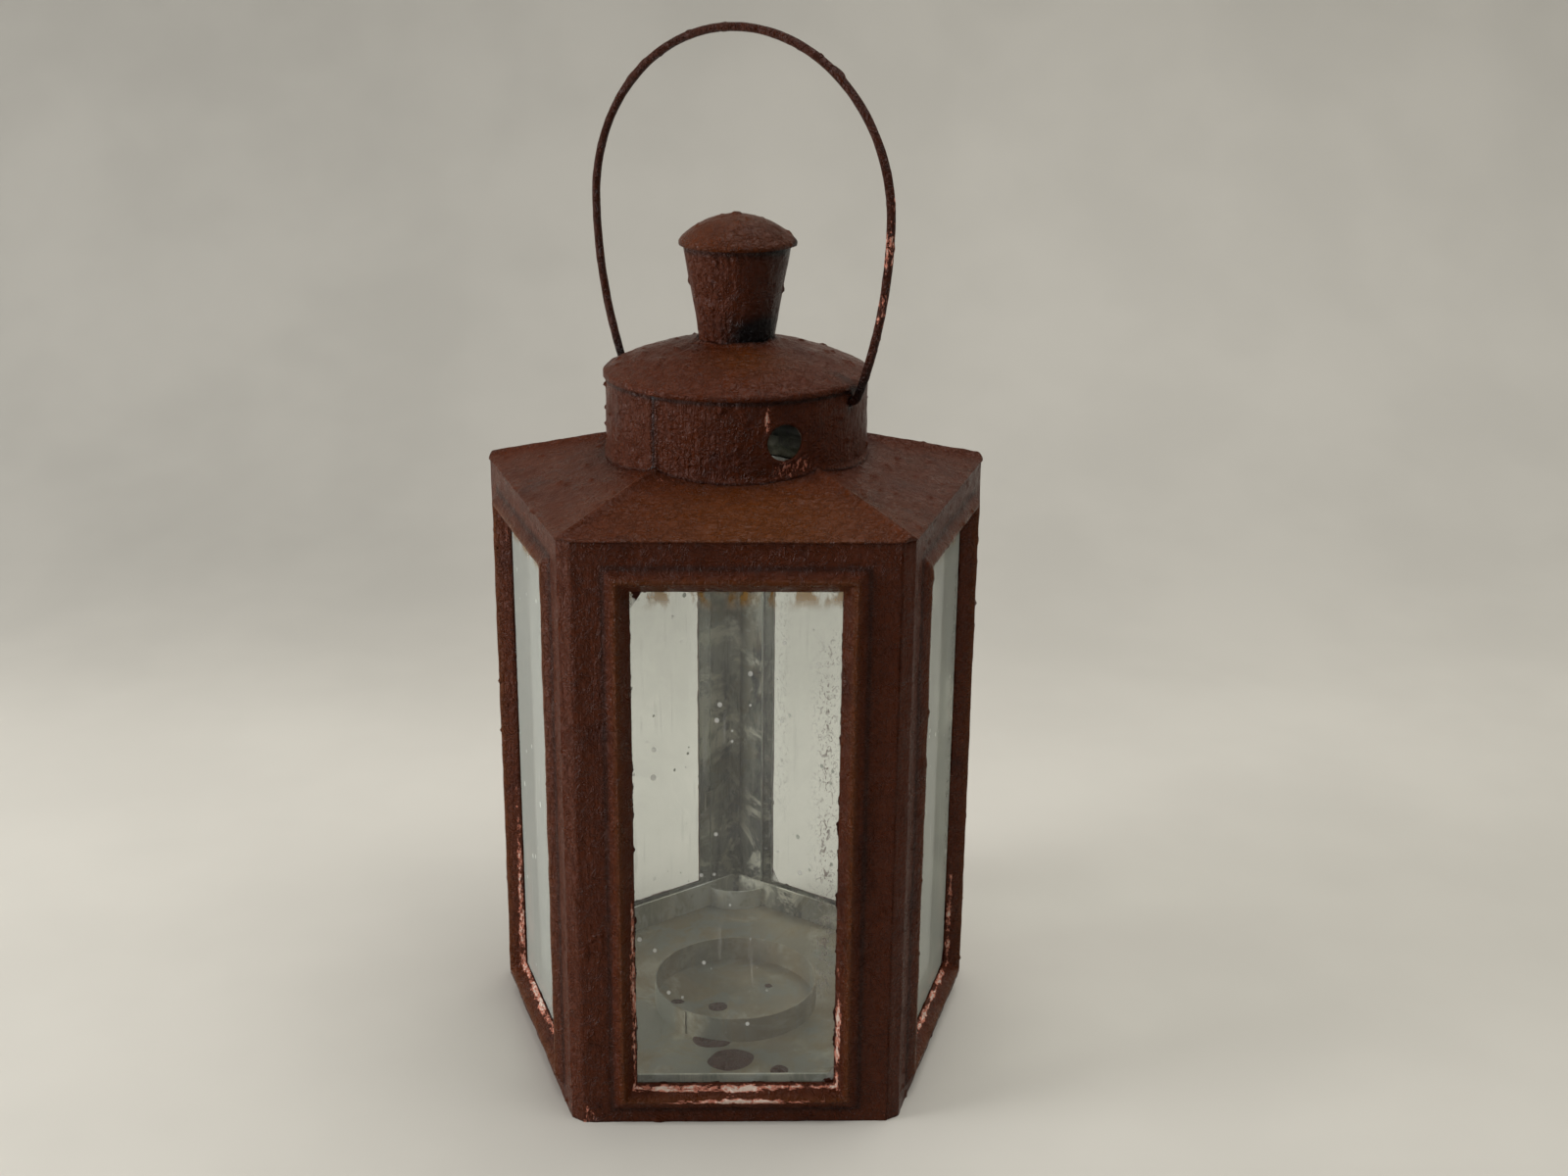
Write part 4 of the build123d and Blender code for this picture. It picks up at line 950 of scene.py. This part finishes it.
def make_cap(paint):
    """The chimney's shallow cap with its knob of paint and a hardened run under its right edge, darkened there
    with painted shade.
    """
    edge = CAP_HIGH.x
    rim_z = CAP_LOW.z + 1.6 * MM
    radii = spans((0.15 * MM, 3 * MM, 0.5 * MM), (3 * MM, edge - 0.6 * MM, 0.9 * MM))
    profile = [(r, rim_z + dome_rise(edge, CAP_RISE, r)) for r in radii]
    profile += [(edge - 0.12 * MM, rim_z - 0.15 * MM), (edge, rim_z - 0.6 * MM), (edge, CAP_LOW.z)]

    def height_of(base, angle, radius, z):
        knob = 0.7 * MM * (1 - rising(radius, 0.8 * MM, 2.3 * MM))
        run = near(angle_from(angle, -8), 0, 0.16) * near(z, CAP_LOW.z + 1 * MM, 2.2 * MM)
        return paint.relief * brushed(base, 51) + knob + 0.9 * MM * run

    def marks_of(angle, radius, z):
        run = near(angle_from(angle, -8), 0, 0.2) * near(z, CAP_LOW.z + 0.6 * MM, 1.6 * MM)
        # Painted shade: near-black under the cap's right edge.
        return paint_marks(z, wear=0.1, across=0.5, soot_and_shade=np.minimum(run, 0.9), warm=0.25)

    piece = spun_sheet("painted_cap", profile, 0.7 * MM, 220, height_of, marks_of)
    settle(piece, "case", "brown_paint", "chimney_cap")


def bail_line(sizes):
    """Centre line of the bail in its own plane, from one hole to the other: points and headings."""
    r = sizes.collar_radius
    bow, lean, elbow = 10.6 * MM, math.radians(21), 3 * MM
    arm = bow / (1 - math.cos(lean))
    half = r + 0.1 * MM + elbow * math.cos(lean) + bow
    runs = [(elbow, math.pi / 2 - lean), (arm, lean), (half, math.pi), (arm, lean), (elbow, math.pi / 2 - lean)]
    start = r - sizes.collar_sheet - 5 * MM
    points = [np.array([x, 0.0]) for x in np.linspace(start, r + 0.1 * MM, 8)]
    headings = [0.0] * 8
    for radius, turn in runs:
        heading, last = headings[-1], points[-1]
        centre = last + radius * np.array([-math.sin(heading), math.cos(heading)])
        steps = max(4, round(radius * turn / (0.8 * MM)))
        for k in range(1, steps + 1):
            now = heading + turn * k / steps
            points.append(centre + radius * np.array([math.sin(now), -math.cos(now)]))
            headings.append(now)
    for x in np.linspace(-r - 0.1 * MM, -start, 8)[1:]:
        points.append(np.array([x, points[-1][1]]))
        headings.append(headings[-1])
    return np.array(points), np.array(headings)


def make_bail(sizes):
    """The wire bail with its uneven coats and hardened drops."""
    line, headings = bail_line(sizes)
    around, rows = 18, len(line)
    spin = np.tile(np.linspace(0, 2 * math.pi, around, endpoint=False), rows)
    centre = np.repeat(line, around, axis=0)
    heading = np.repeat(headings, around)
    flat = np.column_stack([centre[:, 0], 0 * spin, centre[:, 1]])
    push = np.column_stack([-np.sin(heading) * np.cos(spin), np.sin(spin), np.cos(heading) * np.cos(spin)])
    base = flat + push * sizes.wire
    along = np.repeat(np.arange(rows) / (rows - 1), around)
    coat = rising(along, 0.02, 0.04) * (1 - rising(along, 0.96, 0.98))
    lumps = 0.13 * MM * brushed(base, 61) + 0.08 * MM * lattice_noise(base, 9 * MM, 62)
    drops = np.clip(lattice_noise(flat, 4.5 * MM, 63) - 0.62, 0, 1) * 1.9 * MM
    drops = drops * near(np.mod(spin + 0.6, 2 * math.pi), math.pi, 1.0)
    points = flat + push * (sizes.wire * 0.96 + coat * (lumps + drops))[:, None]
    points = points + np.array([0, 0, sizes.collar_top - BAIL_DROP])
    faces = [grid_quads(rows, around, closed=True)[:, ::-1]]
    for first, step in ((0, 1), ((rows - 1) * around, -1)):
        ring = first + np.arange(around)
        ends = [[ring[k - 1], ring[k], ring[-k - 1], ring[-k]][::step] for k in range(1, around // 2)]
        faces.append(np.array(ends))
    worn = near(along, 0.2, 0.06) + near(along, 0.1, 0.05)
    wear = 0.18 + 0.6 * worn + 0.25 * near(along, 0.62, 0.12)
    ends = near(along, 0.04, 0.02) + near(along, 0.96, 0.02)
    marks = paint_marks(along, wear=wear, soot_and_shade=0.35 + 0.5 * ends)
    paints = [bpy.data.materials["wire_paint"]]
    piece = make_mesh("painted_bail", turn_points(points, BAIL_TURN), np.concatenate(faces), paints, None, marks)
    settle(piece, "bail", "painted_wire", "bail")


# ---- Glass, tin and small pieces ----------------------------------------------------------


# The side panes' film is partly dust and partly painted reflection.
FILMS = {"front": "pane_grime", "left": "pane_dust", "right": "pane_dust"}
# x, y, half width and half depth of each drop on the floor, in millimetres
DROPS = (
    (-8.4, -28.8, 7.6, 5.4),
    (-1.6, -41.9, 8.0, 7.2),
    (15.5, -49.0, 3.2, 3.4),
    (-6.5, -5.5, 3.7, 3.4),
    (12.5, 9.5, 1.5, 1.3),
    (-22.0, -2.0, 2.6, 1.6),
)


def finish_nodes(names, material):
    """Gives carried-over CAD nodes their material."""
    for name in names:
        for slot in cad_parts[name].material_slots:
            slot.material = bpy.data.materials[material]


def make_film(face, sizes):
    """The dirt on one pane, a hair's breadth in front of it."""
    half = sizes.side / 2 - sizes.stile
    low, high = sizes.bottom_rail, sizes.wall_height - sizes.top_rail
    xs, zs = spans((-half, half, 4 * MM)), spans((low, high, 6 * MM))
    x, z = np.tile(xs, len(zs)), np.repeat(zs, len(xs))
    points = np.column_stack([x, 0 * x + GLASS_FACE - FILM_GAP, z])
    smear = near(x, 29 * MM, 3.2 * MM) * rising(z, 35 * MM, 60 * MM) * (1 - rising(z, 165 * MM, 185 * MM))
    marks = {
        "pane_across": x,
        "pane_up": z,
        "pane_seed": 0 * x + FACE_TURNS[face] * 0.01,
        "pane_edge": np.minimum(half - np.abs(x), np.minimum(z - low, high - z)),
        "pane_top": high - z,
        "pane_smear": smear if face == "front" else smear * 0.5,
    }
    films = [bpy.data.materials[FILMS.get(face, "back_pane_grime")]]
    quads = grid_quads(len(zs), len(xs))
    piece = make_mesh("grime_" + face, turn_points(points, FACE_TURNS[face]), quads, films, None, marks)
    settle(piece, "door" if face == "door" else "case", "old_glass")


def make_drips():
    """Drops of paint that have dried on the floor inside."""
    spokes, rings = 40, 6
    angle = np.tile(np.linspace(0, 2 * math.pi, spokes, endpoint=False), rings)
    share = np.repeat(np.linspace(0.03, 1, rings), spokes)
    height = TRAY_TOP + 0.45 * MM * (1 - share**6) + 0.02 * MM
    points, quads = [], []
    for number, (x, y, wide, deep) in enumerate(DROPS):
        circle = np.column_stack([np.cos(angle), np.sin(angle), 0 * angle + number])
        reach = share * (1 + 0.12 * lattice_noise(circle, 0.7, 71 + number)) * MM
        across, along = x * MM + reach * wide * circle[:, 0], y * MM + reach * deep * circle[:, 1]
        points.append(np.column_stack([across, along, height]))
        quads.append(grid_quads(rings, spokes, closed=True) + number * spokes * rings)
    points = np.concatenate(points)
    paints = [bpy.data.materials["dried_drops"]]
    piece = make_mesh("paint_drops", points, np.concatenate(quads), paints, None, paint_marks(points[:, 0]))
    settle(piece, "case", "brown_paint")


# ---- Stage --------------------------------------------------------------------------------


def make_sweep():
    """A pale sweep behind and below the lantern."""
    xs = np.linspace(-3, 3, 9)
    front, bend, radius, top = -1.6, 0.35, 0.5, 1.3
    turns = np.linspace(0.1, math.pi / 2, 12)
    depth = [(front, 0.0), (bend, 0.0)]
    depth += [(bend + radius * math.sin(t), radius - radius * math.cos(t)) for t in turns]
    depth.append((bend + radius, top))
    points = np.array([(x, y, z) for y, z in depth for x in xs])
    sweep = make_mesh("sweep", points, grid_quads(len(depth), len(xs)), [bpy.data.materials["pale_floor"]])


def make_lights(stage):
    """An even room light, a large soft light overhead and a smaller one from the left."""
    world = bpy.data.worlds.new("room")
    world.use_nodes = True
    background = world.node_tree.nodes["Background"]
    background.inputs["Color"].default_value = (1.0, 0.985, 0.955, 1)
    background.inputs["Strength"].default_value = stage.fill
    bpy.context.scene.world = world
    for name, place, size, power, tint in (
        ("ceiling_light", (0.4, 0.0, 1.8), 2.0, stage.key, (1.0, 0.99, 0.97)),
        ("window_light", (-1.25, -0.3, 0.42), 0.7, stage.key * stage.window, (0.98, 0.98, 1.0)),
    ):
        light = bpy.data.lights.new(name, "AREA")
        light.shape = "DISK"
        light.size = size
        light.energy = power
        light.color = tint
        lamp = bpy.data.objects.new(name, light)
        lamp.location = place
        lamp.rotation_euler = (Vector((0, 0, 0.15)) - Vector(place)).to_track_quat("-Z", "Y").to_euler()
        bpy.context.scene.collection.objects.link(lamp)


def make_camera(stage):
    """The camera, a little above the lantern and looking down on it."""
    camera = bpy.data.cameras.new("camera")
    camera.lens = stage.lens
    camera.sensor_width = 36
    camera.clip_start = 0.01
    holder = bpy.data.objects.new("camera", camera)
    yaw, pitch, roll = math.radians(1.51), math.radians(18.45), math.radians(0.577)
    aim = Vector((math.sin(yaw) * math.cos(pitch), math.cos(yaw) * math.cos(pitch), -math.sin(pitch)))
    side = Vector((math.cos(yaw), -math.sin(yaw), 0))
    head = side.cross(aim)
    level_side = side * math.cos(roll) + head * math.sin(roll)
    level_head = head * math.cos(roll) - side * math.sin(roll)
    turned = Matrix((level_side, level_head, -aim)).transposed()
    holder.matrix_world = Matrix.Translation((-0.0002, -stage.distance, stage.height)) @ turned.to_4x4()
    scene = bpy.context.scene
    scene.collection.objects.link(holder)
    scene.camera = holder
    scene.view_settings.view_transform = "Standard"


# ---- Operators ----------------------------------------------------------------------------


def sizes_and_paint(context):
    """The two groups of settings that the painted pieces are made from."""
    return context.scene.lantern_sizes, context.scene.lantern_paint


class LANTERN_OT_finishes(bpy.types.Operator):
    """Makes the shader groups and the materials"""

    bl_idname = "lantern.finishes"
    bl_label = "Finishes"

    def execute(self, context):
        paint, tin = context.scene.lantern_paint, context.scene.lantern_tin
        build_brush_strokes()
        build_paint_chips()
        build_mottling()
        build_pane_dirt()
        build_paint("brushed_paint", 0.6, 0.0, paint)
        build_paint("wire_paint", 1.0, 0.12, paint)
        build_paint("painted_fittings", 0.8, 0.3, paint)
        build_paint("dried_drops", 0.1, 0.0, paint)
        build_tin("aged_tin", 66.0, 1.0, (tin.tin, tin.tin_dark, tin.tin_pale, tin.ochre))
        build_tin("floor_tin", 40.0, 0.45, (tin.tin, tin.warm_tin, tin.tin_pale, tin.ochre))
        build_tin("pale_tin", 90.0, 0.9, (tin.tin_pale, tin.blotch_tin, tin.dust, tin.tin_pale))
        build_tin("sooty_tin", 90.0, 0.03, (paint.soot_and_shade, paint.soot_and_shade, tin.tin_pale, paint.soot_and_shade))
        build_glass(tin)
        build_grime("pane_grime", 1.0, 0.015, tin.dust, tin.rust, paint)
        # The side panes' thick grey haze is partly dust and partly painted reflection.
        build_grime("pane_dust", 0.3, 0.42, tin.side_dust_and_reflection, tin.rust, paint)
        build_grime("back_pane_grime", 0.6, 0.01, tin.dust, tin.rust, paint)
        build_floor(context.scene.lantern_stage)
        return {"FINISHED"}


class LANTERN_OT_panels(bpy.types.Operator):
    """Makes the four fixed panels in brushed paint"""

    bl_idname = "lantern.panels"
    bl_label = "Panels"

    def execute(self, context):
        for face in FIXED_FACES:
            make_panel(face, *sizes_and_paint(context))
        return {"FINISHED"}


class LANTERN_OT_door(bpy.types.Operator):
    """Makes the door and paints its pull and hinges"""

    bl_idname = "lantern.door"
    bl_label = "Door"

    def execute(self, context):
        make_panel("door", *sizes_and_paint(context))
        finish_nodes(("door_pull", "hinge_leaves_case", "hinge_leaves_door", "hinge_pins"), "painted_fittings")
        return {"FINISHED"}


class LANTERN_OT_roof(bpy.types.Operator):
    """Makes the roof"""

    bl_idname = "lantern.roof"
    bl_label = "Roof"

    def execute(self, context):
        make_roof(*sizes_and_paint(context))
        return {"FINISHED"}


class LANTERN_OT_collar(bpy.types.Operator):
    """Makes the collar and its lid"""

    bl_idname = "lantern.collar"
    bl_label = "Collar and lid"

    def execute(self, context):
        make_collar(*sizes_and_paint(context))
        make_lid(*sizes_and_paint(context))
        return {"FINISHED"}


class LANTERN_OT_chimney(bpy.types.Operator):
    """Makes the chimney and its cap"""

    bl_idname = "lantern.chimney"
    bl_label = "Chimney"

    def execute(self, context):
        make_chimney(context.scene.lantern_paint)
        make_cap(context.scene.lantern_paint)
        return {"FINISHED"}


class LANTERN_OT_bail(bpy.types.Operator):
    """Makes the wire bail"""

    bl_idname = "lantern.bail"
    bl_label = "Bail"

    def execute(self, context):
        make_bail(context.scene.lantern_sizes)
        return {"FINISHED"}


class LANTERN_OT_glass(bpy.types.Operator):
    """Glazes the panes and lays the dirt on them"""

    bl_idname = "lantern.glass"
    bl_label = "Glass"

    def execute(self, context):
        finish_nodes(["glass_" + face for face in FIXED_FACES] + ["door_glass"], "window_glass")
        for face in FACE_TURNS:
            make_film(face, context.scene.lantern_sizes)
        return {"FINISHED"}


class LANTERN_OT_floor(bpy.types.Operator):
    """Gives the floor, its strips, the candle ring and the tabs their tin, and drops paint on the floor"""

    bl_idname = "lantern.floor"
    bl_label = "Floor and tinwork"

    def execute(self, context):
        strips = ["floor_rail_" + face for face in FIXED_FACES]
        tabs = ["glass_tabs_" + face for face in FIXED_FACES]
        finish_nodes(["base_tray", "candle_ring"], "floor_tin")
        finish_nodes(tabs + ["door_sill", "door_head", "door_glass_tabs"], "aged_tin")
        finish_nodes(strips + ["corner_strip"], "pale_tin")
        make_drips()
        return {"FINISHED"}


class LANTERN_OT_stage(bpy.types.Operator):
    """Makes the floor and backdrop, the lights and the camera"""

    bl_idname = "lantern.stage"
    bl_label = "Stage"

    def execute(self, context):
        stage = context.scene.lantern_stage
        make_sweep()
        make_lights(stage)
        make_camera(stage)
        return {"FINISHED"}


STEPS = (
    LANTERN_OT_finishes,
    LANTERN_OT_panels,
    LANTERN_OT_door,
    LANTERN_OT_roof,
    LANTERN_OT_collar,
    LANTERN_OT_chimney,
    LANTERN_OT_bail,
    LANTERN_OT_glass,
    LANTERN_OT_floor,
    LANTERN_OT_stage,
)
SETTINGS = (
    ("lantern_sizes", LanternSizes),
    ("lantern_paint", LanternPaint),
    ("lantern_tin", LanternTin),
    ("lantern_stage", LanternStage),
)


class LANTERN_PT_maker(bpy.types.Panel):
    """Lists the lantern's settings and making steps"""

    bl_idname = "LANTERN_PT_maker"
    bl_label = "Candle Lantern"
    bl_space_type = "VIEW_3D"
    bl_region_type = "UI"
    bl_category = "Lantern"

    def draw(self, context):
        for name, group in SETTINGS:
            column = self.layout.column(align=True)
            column.label(text=group.__name__.replace("Lantern", ""))
            for key in group.__annotations__:
                column.prop(getattr(context.scene, name), key)
        for step in STEPS:
            self.layout.operator(step.bl_idname)


def register():
    """Registers the settings, the making steps and the panel."""
    for name, group in SETTINGS:
        bpy.utils.register_class(group)
        setattr(bpy.types.Scene, name, PointerProperty(type=group))
    for step in STEPS:
        bpy.utils.register_class(step)
    bpy.utils.register_class(LANTERN_PT_maker)


def unregister():
    """Takes them away again in the opposite order."""
    bpy.utils.unregister_class(LANTERN_PT_maker)
    for step in reversed(STEPS):
        bpy.utils.unregister_class(step)
    for name, group in reversed(SETTINGS):
        delattr(bpy.types.Scene, name)
        bpy.utils.unregister_class(group)


def main():
    """Registers the add-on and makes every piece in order."""
    register()
    for step in STEPS:
        group, name = step.bl_idname.split(".")
        getattr(getattr(bpy.ops, group), name)()


if __name__ == "__main__":
    main()
